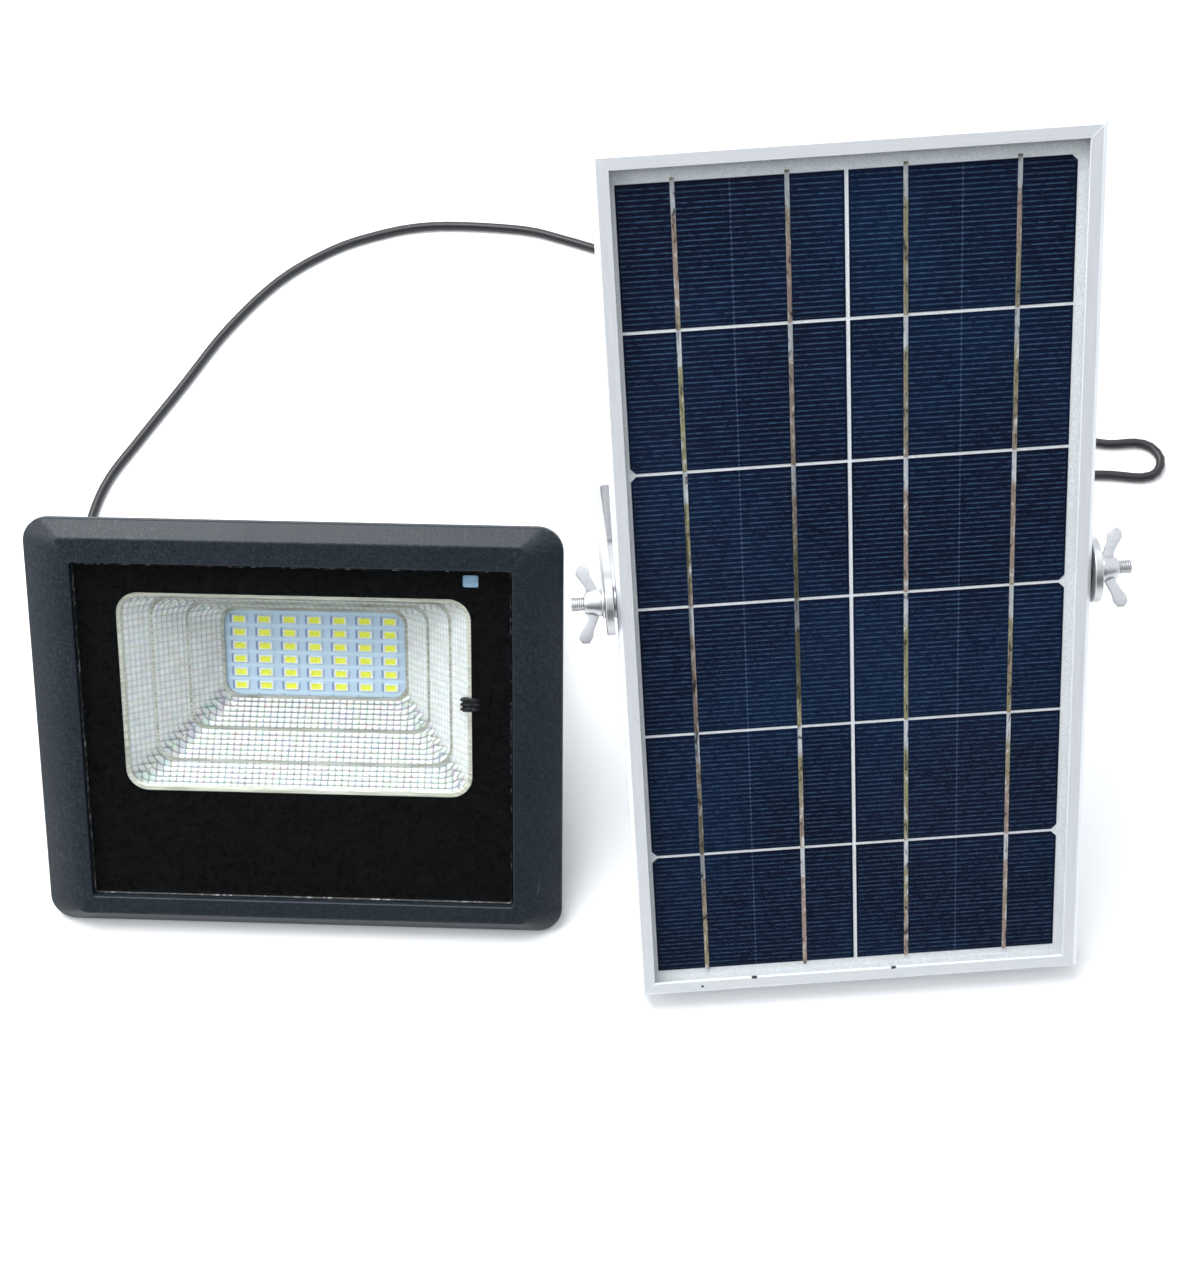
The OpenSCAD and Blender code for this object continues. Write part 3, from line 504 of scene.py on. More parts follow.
def bump(tree, surface, height, depth, strength=1.0):
    raised = add(tree, "ShaderNodeBump", Height=height, Distance=depth, Strength=strength)
    tree.links.new(raised.outputs[0], surface.inputs["Normal"])


def powder_coat(name, colour, scale=1500, depth=0.00009, dust=0.35):
    """Fine textured paint, with soft smudges, small scratches and dust on top."""
    material, tree, surface, where = start_finish(name, colour, 0.5, Specular_IOR_Level=0.3)
    grain = use(tree, "Grain", Vector=where, Scale=float(scale))
    wear = use(tree, "Handling Wear", Vector=where, Amount=0.5)
    dust = use(tree, "Settled Dust", Vector=where, Amount=float(dust))
    light = tuple(c * 1.7 + 0.004 for c in colour)
    tone = tint(tree, grain["Speckle"], tuple(c * 0.75 for c in colour), light)
    tone = tint(tree, times(tree, wear["Scratch"], 0.25), tone, (0.16, 0.16, 0.17))
    tone = tint(tree, times(tree, dust["Mask"], 0.5), tone, (0.42, 0.41, 0.40))
    paint_on(tree, surface, tone)
    rough = remap(tree, plus(tree, wear["Smudge"], grain["Speckle"]), 0, 1.6, 0.36, 0.5)
    roughen(tree, surface, rough)
    bump(tree, surface, grain["Height"], depth)
    return material


def moulded(name, colour, rough=0.5, scale=900, depth=0.00003, amount=0.4, dust=0.3, **shader):
    """Moulded plastic or rubber with a fine grain and smudges."""
    material, tree, surface, where = start_finish(name, colour, rough, **shader)
    grain = use(tree, "Grain", Vector=where, Scale=float(scale))
    wear = use(tree, "Handling Wear", Vector=where, Amount=float(amount))
    dust = use(tree, "Settled Dust", Vector=where, Amount=float(dust))
    tone = tint(tree, grain["Speckle"], tuple(c * 0.85 for c in colour), tuple(c * 1.15 + 0.003 for c in colour))
    tone = tint(tree, times(tree, wear["Scratch"], 0.2), tone, tuple(min(1, c * 1.5 + 0.05) for c in colour))
    tone = tint(tree, times(tree, dust["Mask"], 0.4), tone, (0.45, 0.44, 0.43))
    paint_on(tree, surface, tone)
    roughen(tree, surface, remap(tree, wear["Smudge"], 0, 1, rough - 0.06, rough + 0.12))
    bump(tree, surface, grain["Height"], depth)
    return material


def metal(name, colour, rough=0.3, stretch=(60, 2500, 2500), amount=0.5, depth=0.00001, speck=0.0):
    """Bare or anodised metal with drawn lines, smudges and hairline scratches."""
    material, tree, surface, where = start_finish(name, colour, rough, 1.0)
    lines = use(tree, "Brushed Lines", Vector=where, Stretch=stretch)
    wear = use(tree, "Handling Wear", Vector=where, Amount=float(amount))
    tone = tint(tree, lines["Streak"], tuple(c * 0.9 for c in colour), tuple(min(1, c * 1.06) for c in colour))
    tone = tint(tree, times(tree, wear["Smudge"], 0.25), tone, tuple(c * 0.72 for c in colour))
    if speck:
        chips_and_glints = noise(tree, where, 420, 4, 0.75)
        tone = tint(tree, times(tree, remap(tree, chips_and_glints, 0.73, 0.78), speck), tone, (0.05, 0.05, 0.05))
    paint_on(tree, surface, tone)
    mix = plus(tree, times(tree, lines["Streak"], 0.08), times(tree, wear["Smudge"], 0.16))
    roughen(tree, surface, plus(tree, mix, rough - 0.06))
    bump(tree, surface, lines["Height"], depth, 0.6)
    return material


def threaded(name, colour, along, pitch=0.0008):
    """Zinc-plated screw thread across an axis, with painted shade in its grooves."""
    material, tree, surface, where = start_finish(name, colour, 0.32, 1.0)
    distance = add(tree, "ShaderNodeVectorMath", {"operation": "DOT_PRODUCT"})
    tree.links.new(where, distance.inputs[0])
    distance.inputs[1].default_value = along
    thread = use(tree, "Screw Thread", Along=distance.outputs["Value"], Pitch=pitch)
    # Painted shade in the thread's grooves.
    tone = tint(tree, times(tree, thread["Shade"], 0.6), colour, tuple(c * 0.35 for c in colour))
    paint_on(tree, surface, tone)
    bump(tree, surface, thread["Height"], 0.0003, 0.8)
    return material


def clear_glass(name, rough=0.02, texture=0.0, tone=(0.94, 0.97, 0.98)):
    """Glass that lets light through to what lies behind it."""
    material, tree, surface, where = start_finish(name, tone, rough)
    surface.inputs["Transmission Weight"].default_value = 1.0
    surface.inputs["IOR"].default_value = 1.45
    wear = use(tree, "Handling Wear", Vector=where, Amount=0.4)
    roughen(tree, surface, remap(tree, plus(tree, wear["Smudge"], wear["Scratch"]), 0, 1, rough, rough + 0.02))
    shade = tree.nodes.new("ShaderNodeLightPath").outputs["Is Shadow Ray"]
    feed(tree, surface.inputs["Alpha"], calc(tree, "SUBTRACT", 1.0, times(tree, shade, 0.93)))
    if texture:
        bump(tree, surface, noise(tree, where, 900, 2), texture, 0.5)
    return material


def reflector_finish():
    """Metallised plastic pressed into rows of small cushions, with painted shade in the valleys between the cushions
    and on the lower wall, which faces up, lighter valleys on the side walls, and faint painted glints.
    """
    material, tree, surface, where = start_finish("Reflector Silver", (0.90, 0.91, 0.90), 0.25, 0.25)
    uv = tree.nodes.new("ShaderNodeUVMap").outputs[0]
    across, down = split(tree, uv)[0:2]
    cushion_u = calc(tree, "ABSOLUTE", calc(tree, "SINE", times(tree, across, math.pi / 0.0028)))
    cushion_v = calc(tree, "ABSOLUTE", calc(tree, "SINE", times(tree, down, math.pi / 0.0022)))
    height = times(tree, calc(tree, "POWER", cushion_u, 0.6), calc(tree, "POWER", cushion_v, 0.6))
    wear = use(tree, "Handling Wear", Vector=where, Amount=0.4)
    uneven = noise(tree, where, 260, 2)
    bright = tint(tree, remap(tree, uneven, 0.35, 0.65), (0.78, 0.80, 0.79), (0.93, 0.94, 0.93))
    # Which way each wall faces: the lower wall faces up, the side walls face sideways.
    normal = split(tree, add(tree, "ShaderNodeNewGeometry").outputs["True Normal"])
    side = remap(tree, calc(tree, "ABSOLUTE", normal["X"]), 0.45, 0.65)
    low = remap(tree, normal["Z"], 0.55, 0.8)
    # Painted shade: the cushions on the lower wall are darkened.
    bright = tint(tree, times(tree, low, 0.85), bright, (0.50, 0.52, 0.51))
    # The valleys between the cushions: painted shade, darkest on the lower wall, lighter on the side walls.
    valley_shade = tint(tree, side, tint(tree, low, (0.42, 0.43, 0.40), (0.22, 0.23, 0.22)), (0.70, 0.71, 0.69))
    # Faint painted glints: small cells of random colour laid over the tone.
    glint = add(tree, "ShaderNodeTexVoronoi", Vector=where, Scale=420.0).outputs["Color"]
    tone = tint(tree, remap(tree, height, 0.10, 0.75), valley_shade, bright)
    tone = tint(tree, 0.12, tone, glint, "OVERLAY")
    paint_on(tree, surface, tone)
    roughen(tree, surface, remap(tree, wear["Smudge"], 0, 1, 0.22, 0.34))
    bump(tree, surface, height, 0.0003, 0.6)
    return material


def rim_finish(name, light, dark):
    """Edges of the reflector: pale satin plastic with fine lines along them and duller patches."""
    material, tree, surface, where = start_finish(name, light, 0.4, 0.2)
    lines = noise(tree, stretched(tree, where, (60, 700, 1400)), 1.0, 3, 0.6)
    patches = noise(tree, where, 45, 3, 0.6)
    tone = tint(tree, remap(tree, lines, 0.40, 0.62), dark, light)
    tone = tint(tree, remap(tree, patches, 0.40, 0.70, 0.0, 0.35), tone, (0.80, 0.81, 0.76))
    paint_on(tree, surface, tone)
    bump(tree, surface, lines, 0.00003, 0.5)
    return material


def silicon_finish():
    """Dark cells with broken silver fingers, a dark margin, a faint middle line and drifting blue and violet."""
    s = bpy.context.scene.flood_panel
    material, tree, surface, where = start_finish("Silicon Cells", s.silicon, 0.4, Specular_IOR_Level=0.08)
    local = in_frame(tree, where, panel_frame())
    x, y = split(tree, local)[0:2]
    x = plus(tree, x, s.cells_left + 10 * s.cell_pitch[0])
    y = plus(tree, y, s.cells_down)
    from_x = calc(tree, "PINGPONG", x, s.cell_pitch[0] / 2)
    row_top = 3 * s.cell_pitch[1]
    from_y = calc(tree, "PINGPONG", plus(tree, y, 10 * s.cell_pitch[1]), s.cell_pitch[1] / 2)
    gap = [(p - c) / 2 for p, c in zip(s.cell_pitch, s.cell_size)]
    inside = times(tree, *(remap(tree, near, g + 0.0006, g + 0.0009) for near, g in zip((from_x, from_y), gap)))
    fingers = use(tree, "Fine Line", Value=plus(tree, y, row_top + 1.0), Pitch=s.finger_pitch, Width=0.00038)["Mask"]
    broken = noise(tree, stretched(tree, local, (420, 900, 900)), 1.0, 2, 0.7)
    fingers = times(tree, times(tree, fingers, remap(tree, broken, 0.34, 0.60, 0.10, 1.0)), inside)
    middle = remap(tree, calc(tree, "ABSOLUTE", calc(tree, "SUBTRACT", from_x, s.cell_pitch[0] / 2)), 0.00012, 0.00035, 1, 0)
    beads = use(tree, "Fine Line", Value=plus(tree, y, row_top + 1.0), Pitch=s.finger_pitch, Width=0.0009)["Mask"]
    drift = noise(tree, local, 11, 2, 0.5)
    violet = noise(tree, add(tree, "ShaderNodeMapping", Vector=local, Location=(3, 1, 7)).outputs[0], 9, 2, 0.5)
    tone = tint(tree, remap(tree, drift, 0.42, 0.66), s.silicon, (0.0012, 0.0105, 0.040))
    tone = tint(tree, times(tree, remap(tree, violet, 0.48, 0.72), 0.6), tone, (0.005, 0.0045, 0.018))
    speck = remap(tree, noise(tree, local, 2600, 2, 0.7), 0.66, 0.76)
    tone = tint(tree, times(tree, speck, 0.25), tone, (0.05, 0.09, 0.16))
    tone = tint(tree, times(tree, fingers, 0.75), tone, (0.046, 0.100, 0.185))
    tone = tint(tree, times(tree, times(tree, middle, beads), 0.5), tone, (0.10, 0.16, 0.27))
    paint_on(tree, surface, tone)
    roughen(tree, surface, remap(tree, drift, 0.3, 0.7, 0.32, 0.42))
    bump(tree, surface, fingers, 0.00002, 0.4)
    return material


def ribbon_finish():
    """Tinned copper ribbon: bright solder at the top of each cell, warmer and rougher below, with painted glints on the
    crests of its crumples and painted shade in their hollows.
    """
    s = bpy.context.scene.flood_panel
    material, tree, surface, where = start_finish("Ribbon", (0.56, 0.52, 0.47), 0.35, 0.5)
    local = in_frame(tree, where, panel_frame())
    y = split(tree, local)[1]
    y = plus(tree, y, s.cells_down)
    part = calc(tree, "DIVIDE", calc(tree, "MODULO", plus(tree, y, 10 * s.cell_pitch[1]), s.cell_pitch[1]), s.cell_pitch[1])
    crumple = noise(tree, stretched(tree, local, (500, 170, 500)), 1.0, 4, 0.7, 0.6)
    warm = noise(tree, stretched(tree, local, (14, 9, 9)), 1.0, 2, 0.5)
    tone = tint(tree, remap(tree, warm, 0.44, 0.56), (0.50, 0.38, 0.31), (0.42, 0.39, 0.22))
    soldered = remap(tree, plus(tree, part, times(tree, crumple, 0.12)), 0.80, 0.86)
    tone = tint(tree, times(tree, soldered, 0.9), tone, (0.80, 0.82, 0.86))
    # Painted glints on the crests of the crumples.
    tone = tint(tree, times(tree, remap(tree, crumple, 0.55, 0.62), 0.8), tone, (0.92, 0.92, 0.94))
    # Painted shade in the hollows of the crumples.
    tone = tint(tree, times(tree, remap(tree, crumple, 0.45, 0.38), 0.85), tone, (0.05, 0.045, 0.05))
    paint_on(tree, surface, tone)
    roughen(tree, surface, remap(tree, crumple, 0.3, 0.7, 0.28, 0.5))
    bump(tree, surface, crumple, 0.0001, 0.7)
    return material


def board_finish():
    """Pale solder mask with faint copper tracks beneath, and darker blue marks just left of each LED."""
    s = bpy.context.scene.flood_lamp
    mask = tuple(s.board_mask)
    material, tree, surface, where = start_finish("LED Board Mask", mask, 0.4)
    local = in_frame(tree, where, lamp_frame())
    x, y = split(tree, local)[0:2]
    y = plus(tree, y, 100 * s.led_pitch[1] - s.window_up - s.opening_up - s.led_pitch[1] / 2)
    x = plus(tree, x, 100 * s.led_pitch[0] - s.opening_right)
    tracks = use(tree, "Fine Line", Value=plus(tree, y, s.led_pitch[1] / 2), Pitch=s.led_pitch[1], Width=0.0009)["Mask"]
    # Darker blue marks just left of each LED.
    marks_left_of_leds = calc(
        tree, "MULTIPLY", use(tree, "Fine Line", Value=plus(tree, x, 0.0033), Pitch=s.led_pitch[0], Width=0.0008)["Mask"],
        use(tree, "Fine Line", Value=y, Pitch=s.led_pitch[1], Width=0.0026)["Mask"],
    )
    soft = noise(tree, local, 70, 3)
    tone = tint(tree, soft, tuple(c * 0.94 for c in mask), tuple(min(1, c * 1.06) for c in mask))
    tone = tint(tree, times(tree, tracks, 0.5), tone, tuple(min(1, c * 1.25) for c in mask))
    tone = tint(tree, times(tree, marks_left_of_leds, 0.75), tone, (0.10, 0.19, 0.42))
    paint_on(tree, surface, tone)
    bump(tree, surface, tracks, 0.00003, 0.5)
    return material


def frame_finish(name, stretch, scuffed=False):
    """Satin anodised aluminium with drawn lines, faint handling marks and, on the ends, small black scuffs."""
    s = bpy.context.scene.flood_panel
    colour = tuple(s.anodised)
    material, tree, surface, where = start_finish(name, colour, 0.42, 0.35)
    local = in_frame(tree, where, panel_frame())
    lines = use(tree, "Brushed Lines", Vector=local, Stretch=stretch)
    wear = use(tree, "Handling Wear", Vector=where, Amount=0.4)
    tone = tint(tree, lines["Streak"], tuple(c * 0.95 for c in colour), tuple(min(1, c * 1.04) for c in colour))
    tone = tint(tree, times(tree, wear["Smudge"], 0.3), tone, tuple(c * 0.86 for c in colour))
    if scuffed:
        marks, down = 0.0, 0.0007
        for x, y, across in ((-0.0630, -0.1667, 0.0006), (-0.0420, -0.1642, 0.0014), (0.0140, -0.1641, 0.0013)):
            offset = stretched(tree, local, (1 / across, 1 / down, 0), Location=(-x / across, -y / down, 0))
            away = add(tree, "ShaderNodeVectorMath", {"operation": "LENGTH"}, Vector=offset).outputs["Value"]
            marks = calc(tree, "MAXIMUM", marks, remap(tree, plus(tree, away, noise(tree, where, 1500, 3)), 1.2, 1.5, 1, 0))
        tone = tint(tree, marks, tone, (0.02, 0.02, 0.02))
    paint_on(tree, surface, tone)
    roughen(tree, surface, remap(tree, plus(tree, lines["Streak"], wear["Smudge"]), 0, 2, 0.36, 0.52))
    bump(tree, surface, lines["Height"], 0.000008, 0.6)
    return material


def arris_finish():
    """The ground edge of the lamp's glass, frosted and dark, with small bright dashes: painted glints along the edge
    together with real chips.
    """
    material, tree, surface, where = start_finish("Glass Arris", (0.2, 0.21, 0.22), 0.4)
    chips_and_glints = remap(tree, noise(tree, where, 330, 3, 0.7), 0.52, 0.66)
    stretch = remap(tree, noise(tree, where, 30, 2), 0.40, 0.60, 0.1, 0.7)
    # Bright dashes on the dark edge: painted glints, and chips in the edge.
    paint_on(tree, surface, tint(tree, times(tree, chips_and_glints, stretch), (0.012, 0.014, 0.016), (0.62, 0.64, 0.66)))
    bump(tree, surface, noise(tree, where, 1800, 2), 0.00006, 0.5)
    return material


def cable_finish():
    """Extruded jacket, faintly ribbed, with dust and scuffs."""
    s = bpy.context.scene.flood_cable
    return moulded("Cable Jacket", s.jacket, 0.42, 700, 0.00002, 0.7, Specular_IOR_Level=0.45)


def floor_finish():
    material, tree, surface, where = start_finish("Floor", bpy.context.scene.flood_stage.floor_colour, 0.7)
    tone = tuple(bpy.context.scene.flood_stage.floor_colour)
    soft = noise(tree, where, 3, 2)
    paint_on(tree, surface, tint(tree, soft, tone, tuple(c * 0.985 for c in tone)))
    return material


def finish(name):
    """The finish of that name, made when a piece first needs it."""
    if name not in bpy.data.materials:
        FINISHES[name]()
    return bpy.data.materials[name]


COAT = (0.030, 0.034, 0.042)
FINISHES = {
    "Bezel Coat": lambda: powder_coat("Bezel Coat", bpy.context.scene.flood_lamp.coat, 1300, 0.0001, 0.3),
    "Housing Coat": lambda: powder_coat("Housing Coat", bpy.context.scene.flood_lamp.coat, 1000, 0.00012, 0.5),
    "Bracket Coat": lambda: powder_coat("Bracket Coat", tuple(c * 0.9 for c in COAT), 1500, 0.00008, 0.4),
    "Lamp Glass": partial(clear_glass, "Lamp Glass", 0.015),
    "Black Print": partial(moulded, "Black Print", (0.0016, 0.0018, 0.0022), 0.3, 500, 0.000001, 0.05, 0.02, Specular_IOR_Level=0.1),
    "Black Rubber": partial(moulded, "Black Rubber", (0.018, 0.018, 0.019), 0.62, 800, 0.00004, 0.5),
    "Clip Plastic": partial(moulded, "Clip Plastic", (0.010, 0.0105, 0.012), 0.22, 900, 0.00002, 0.2, 0.0),
    "Black Plastic": partial(moulded, "Black Plastic", (0.014, 0.0145, 0.016), 0.42, 900, 0.00003, 0.5),
    "Reflector Silver": reflector_finish,
    "Reflector Rim": partial(rim_finish, "Reflector Rim", (0.72, 0.72, 0.58), (0.44, 0.44, 0.37)),
    # The ledges inside the reflector take a darker copy of the rim's finish: painted shade.
    "Reflector Ledge": partial(rim_finish, "Reflector Ledge", (0.60, 0.60, 0.52), (0.34, 0.34, 0.29)),
    "Glass Arris": arris_finish,
    "LED Board Mask": board_finish,
    "LED Body": partial(moulded, "LED Body", (0.90, 0.90, 0.80), 0.4, 2000, 0.00001, 0.1),
    "LED Phosphor": lambda: moulded("LED Phosphor", bpy.context.scene.flood_lamp.led_light, 0.35, 2500, 0.00002, 0.1),
    "Zinc Steel": partial(metal, "Zinc Steel", (0.66, 0.67, 0.69), 0.34, (900, 900, 900), 0.6, 0.00001, 0.4),
    "Stainless Steel": partial(metal, "Stainless Steel", (0.68, 0.68, 0.67), 0.28, (1200, 1200, 1200), 0.4),
    "Bracket Zinc": partial(metal, "Bracket Zinc", (0.60, 0.61, 0.62), 0.38, (300, 1500, 300), 0.6, 0.00001, 0.3),
    "Bolt Thread": lambda: threaded("Bolt Thread", (0.60, 0.61, 0.62), tuple(panel_frame().col[0][:3])),
    "Lamp Bolt Thread": partial(threaded, "Lamp Bolt Thread", (0.55, 0.56, 0.57), (1, 0, 0), 0.001),
    "Cell Wrap": partial(moulded, "Cell Wrap", (0.02, 0.09, 0.36), 0.25, 600, 0.00001, 0.3),
    "White Plastic": partial(moulded, "White Plastic", (0.72, 0.72, 0.67), 0.45),
    "Wire Sleeve": partial(moulded, "Wire Sleeve", (0.35, 0.012, 0.012), 0.4),
    "Green Board": partial(moulded, "Green Board", (0.01, 0.09, 0.03), 0.3, 700, 0.00001),
    "Component Black": partial(moulded, "Component Black", (0.02, 0.02, 0.022), 0.4),
    "Sensor Body": partial(moulded, "Sensor Body", (0.33, 0.50, 0.66), 0.25, 900, 0.00001),
    "Frame Side": partial(frame_finish, "Frame Side", (3000, 40, 3000)),
    "Frame End": partial(frame_finish, "Frame End", (40, 3000, 3000), True),
    "Solar Glass": partial(clear_glass, "Solar Glass", 0.03, 0.000004),
    "Ribbon": ribbon_finish,
    "Silicon Cells": silicon_finish,
    "White Laminate": partial(moulded, "White Laminate", (0.85, 0.855, 0.865), 0.4, 2500, 0.000002, 0.05, 0.02),
    "Sealant": partial(moulded, "Sealant", (0.70, 0.70, 0.69), 0.55, 300, 0.00004, 0.4),
    "Brass Terminal": partial(metal, "Brass Terminal", (0.72, 0.52, 0.22), 0.3, (900, 900, 900)),
    "Cable Jacket": cable_finish,
    "Floor": floor_finish,
}
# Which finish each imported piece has, where no piece built here stands for it.
FINISH_NODES = {
    "Black Print": "glass_print",
    "Black Rubber": "glass_seal lamp_gland_seal panel_strain_relief",
    "LED Board Mask": "led_board",
    "Zinc Steel": "led_board_screws corner_keys panel_washers",
    "Housing Coat": "lamp_housing",
    "Stainless Steel": "housing_screws lamp_pivot_bolts lamp_pivot_washers junction_screws",
    "Cell Wrap": "battery_cells",
    "White Plastic": "battery_cradles",
    "Wire Sleeve": "battery_wires",
    "Green Board": "control_board",
    "Component Black": "control_parts",
    "Sensor Body": "sensor_module",
    "Black Plastic": "lamp_gland lamp_gland_nut junction_box junction_lid "
        "lamp_plug coupling_ring panel_socket coil_tie",
    "Bracket Coat": "lamp_bracket",
    "Solar Glass": "panel_glass",
    "Ribbon": "cell_ribbons",
    "Silicon Cells": "solar_cells",
    "White Laminate": "backsheet",
    "Sealant": "panel_sealant",
    "Brass Terminal": "junction_terminals",
    "Bolt Thread": "panel_pivot_bolts",
    "Bracket Zinc": "panel_bracket",
}
NODE_FINISHES = {node: name for name, nodes in FINISH_NODES.items() for node in nodes.split()}


# ---------------------------------------------------------------- cable shapes


def smooth_route(points, gap=0.005):
    """Points along one smooth curve through a route."""
    route = [Vector(p) * MM for p in points]
    ends = [route[0] * 2 - route[1]] + route + [route[-1] * 2 - route[-2]]
    line = []
    for a, b, c, d in zip(ends, ends[1:], ends[2:], ends[3:]):
        steps = max(1, math.ceil((c - b).length / gap))
        for k in range(steps):
            u = k / steps
            line.append(0.5 * (2 * b + (c - a) * u + (2 * a - 5 * b + 4 * c - d) * u * u + (3 * b - a - 3 * c + d) * u ** 3))
    return line + [route[-1]]


def ease(u):
    u = min(1.0, max(0.0, u))
    return u * u * (3 - 2 * u)


def coil_route():
    """The coiled cable, from the ground turn out of the top: each turn keeps its radius and steps to the next."""
    s = bpy.context.scene.flood_cable
    d, n = s.diameter, s.coil_turns
    inward = [s.coil_inner + d * k for k in range(n - 1, 0, -1)]
    outward = [s.coil_inner + d * k for k in range(n)]
    radii = inward + outward + inward[1:] + outward
    total, per_turn, step = len(radii) - 0.25, 28, 50 / 360
    lifts = (n - 0.5, 2 * n - 1.5, 3 * n - 2.5)
    line = []
    for k in range(int(total * per_turn) + 1):
        t = k / per_turn
        turn, part = int(t), t - int(t)
        radius = radii[turn]
        if turn + 1 < len(radii):
            radius += (radii[turn + 1] - radius) * ease((part - 1 + step) / step)
        z = d / 2 + d * sum(ease((t - lift) / 0.2 + 0.5) for lift in lifts)
        a = -math.pi / 2 - t * math.tau
        line.append(Vector(s.coil_centre) + Vector((radius * math.cos(a), radius * math.sin(a), z)))
    return line


def tube(name, line, diameter, replaces, sides=12):
    """A round tube along a line, as a mesh with its own UV map."""
    curve = bpy.data.curves.new(name, "CURVE")
    curve.dimensions, curve.bevel_depth, curve.bevel_resolution = "3D", diameter / 2, sides // 4
    curve.use_fill_caps = True
    spline = curve.splines.new("POLY")
    spline.points.add(len(line) - 1)
    for point, place in zip(spline.points, line):
        point.co = (*place, 1)
    spline.use_smooth = True
    draft = bpy.data.objects.new(name + "_draft", curve)
    bpy.context.scene.collection.objects.link(draft)
    bpy.context.view_layer.update()
    mesh = bpy.data.meshes.new_from_object(draft.evaluated_get(bpy.context.evaluated_depsgraph_get()))
    bpy.data.objects.remove(draft)
    mesh.name = name
    mesh.materials.clear()
    mesh.materials.append(finish("Cable Jacket"))
    mesh.shade_smooth()
    piece = bpy.data.objects.new(name, mesh)
    bpy.context.scene.collection.objects.link(piece)
    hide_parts(*replaces)
    return piece


# ---------------------------------------------------------------- operators


class FLOOD_OT_stage(bpy.types.Operator):
    """Build the floor, the lights and the camera"""

    bl_idname = "flood.stage"
    bl_label = "Stage"

    def execute(self, context):
        s = context.scene.flood_stage
        scene = context.scene
        bm = new_part()
        bmesh.ops.create_grid(bm, x_segments=8, y_segments=8, size=s.floor_size / 2)
        mesh = bpy.data.meshes.new("floor")
        bm.to_mesh(mesh)
        bm.free()
        floor = bpy.data.objects.new("floor", mesh)
        mesh.materials.append(finish("Floor"))
        scene.collection.objects.link(floor)

        data = bpy.data.cameras.new("camera")
        data.lens, data.sensor_width, data.clip_start, data.clip_end = s.lens, 36.0, 0.01, 60.0
        camera = bpy.data.objects.new("camera", data)
        scene.collection.objects.link(camera)
        forward = Vector(s.camera_forward).normalized()
        right = Vector(s.camera_right).normalized()
        up = right.cross(forward)
        camera.matrix_world = Matrix.Translation(s.camera_place) @ Matrix((right, up, -forward)).transposed().to_4x4()
        scene.camera = camera

        for name, place_at, size, power in (
            ("key", (-0.55, 0.70, 1.75), 1.4, s.key_power),
            ("fill", (-1.5, -0.3, 1.1), 0.9, s.fill_power),
        ):
            lamp = bpy.data.lights.new(name, "AREA")
            lamp.shape, lamp.size, lamp.energy = "DISK", size, power
            light = bpy.data.objects.new(name, lamp)
            scene.collection.objects.link(light)
            turn = (Vector((0, 0, 0.08)) - Vector(place_at)).to_track_quat("-Z", "Y")
            light.matrix_world = Matrix.Translation(place_at) @ turn.to_matrix().to_4x4()

        world = bpy.data.worlds.new("studio")
        scene.world = world
        world.use_nodes = True
        tree = world.node_tree
        back = tree.nodes["Background"]
        ray = split(tree, tree.nodes.new("ShaderNodeTexCoord").outputs["Generated"])
        front = remap(tree, ray["Y"], -0.80, -0.30, 0.05, 1.0)
        height = remap(tree, ray["Z"], 0.55, 0.85, 0.0, 0.95)
        front = calc(tree, "MAXIMUM", front, height)
        feed(tree, back.inputs["Color"], (0.93, 0.96, 1.0, 1))
        feed(tree, back.inputs["Strength"], times(tree, front, s.sky))
        scene.view_settings.view_transform = "Standard"
        return {"FINISHED"}


class FLOOD_OT_finishes(bpy.types.Operator):
    """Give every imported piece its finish"""

    bl_idname = "flood.finishes"
    bl_label = "Finishes"

    def execute(self, context):
        for node, name in NODE_FINISHES.items():
            piece = frame["nodes"][node]
            if piece.hide_render:
                continue
            piece.data.materials.clear()
            piece.data.materials.append(finish(name))
        return {"FINISHED"}


class FLOOD_OT_cable(bpy.types.Operator):
    """Build the lamp's lead and the panel's cable with its coil"""

    bl_idname = "flood.cable"
    bl_label = "Cable"

    def execute(self, context):
        s = context.scene.flood_cable
        line = smooth_route(LAMP_ROUTE)
        lead = tube("lamp_cable", line, s.diameter, ["lamp_lead"])
        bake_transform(lead)
        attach(lead, "brackets")
        coil = coil_route()
        drop = smooth_route(DROP_ROUTE)
        out = smooth_route(PANEL_ROUTE)
        line = drop[::-1] + coil[::-1][1:] + out[::-1][1:]
        parts = ["panel_lead", "lead_coil", "panel_drop_lead"]
        cable = tube("panel_cable", line, s.diameter, parts)
        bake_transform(cable)
        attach(cable, "brackets")
        return {"FINISHED"}


class FLOOD_OT_bezel(bpy.types.Operator):
    """Build the lamp's bezel with its sloping edge and stepped recess"""

    bl_idname = "flood.bezel"
    bl_label = "Bezel"

    def execute(self, context):
        s = context.scene.flood_lamp
        drop = -s.recess_drop
        inner_w, inner_h = s.recess_width - 2 * s.step, s.recess_height - 2 * s.step
        bm = new_part()
        loft(bm, [
            (inner_w, inner_h, 0.0015, -s.rim_back, drop),
            (inner_w, inner_h, 0.0015, -s.step_depth, drop),
            (s.recess_width, s.recess_height, 0.0015, -s.step_depth + 0.00002, drop),
            (s.recess_width, s.recess_height, 0.0015, 0.0, drop),
            (s.width - 2 * s.slope_side, s.height - 2 * s.slope_end, s.corner / 2, -0.00002, 0.0),
            (s.width, s.height, s.corner, -s.slope_rise, 0.0),
            (s.width, s.height, s.corner, -s.rim_back, 0.0),
        ], ring_shape=True, steps=10)
        coat = [finish("Bezel Coat")]
        finish_part(bm, "lamp_bezel", "lamp_head", coat, lamp_frame(), ["front_bezel"], 0.0006, 3)
        return {"FINISHED"}


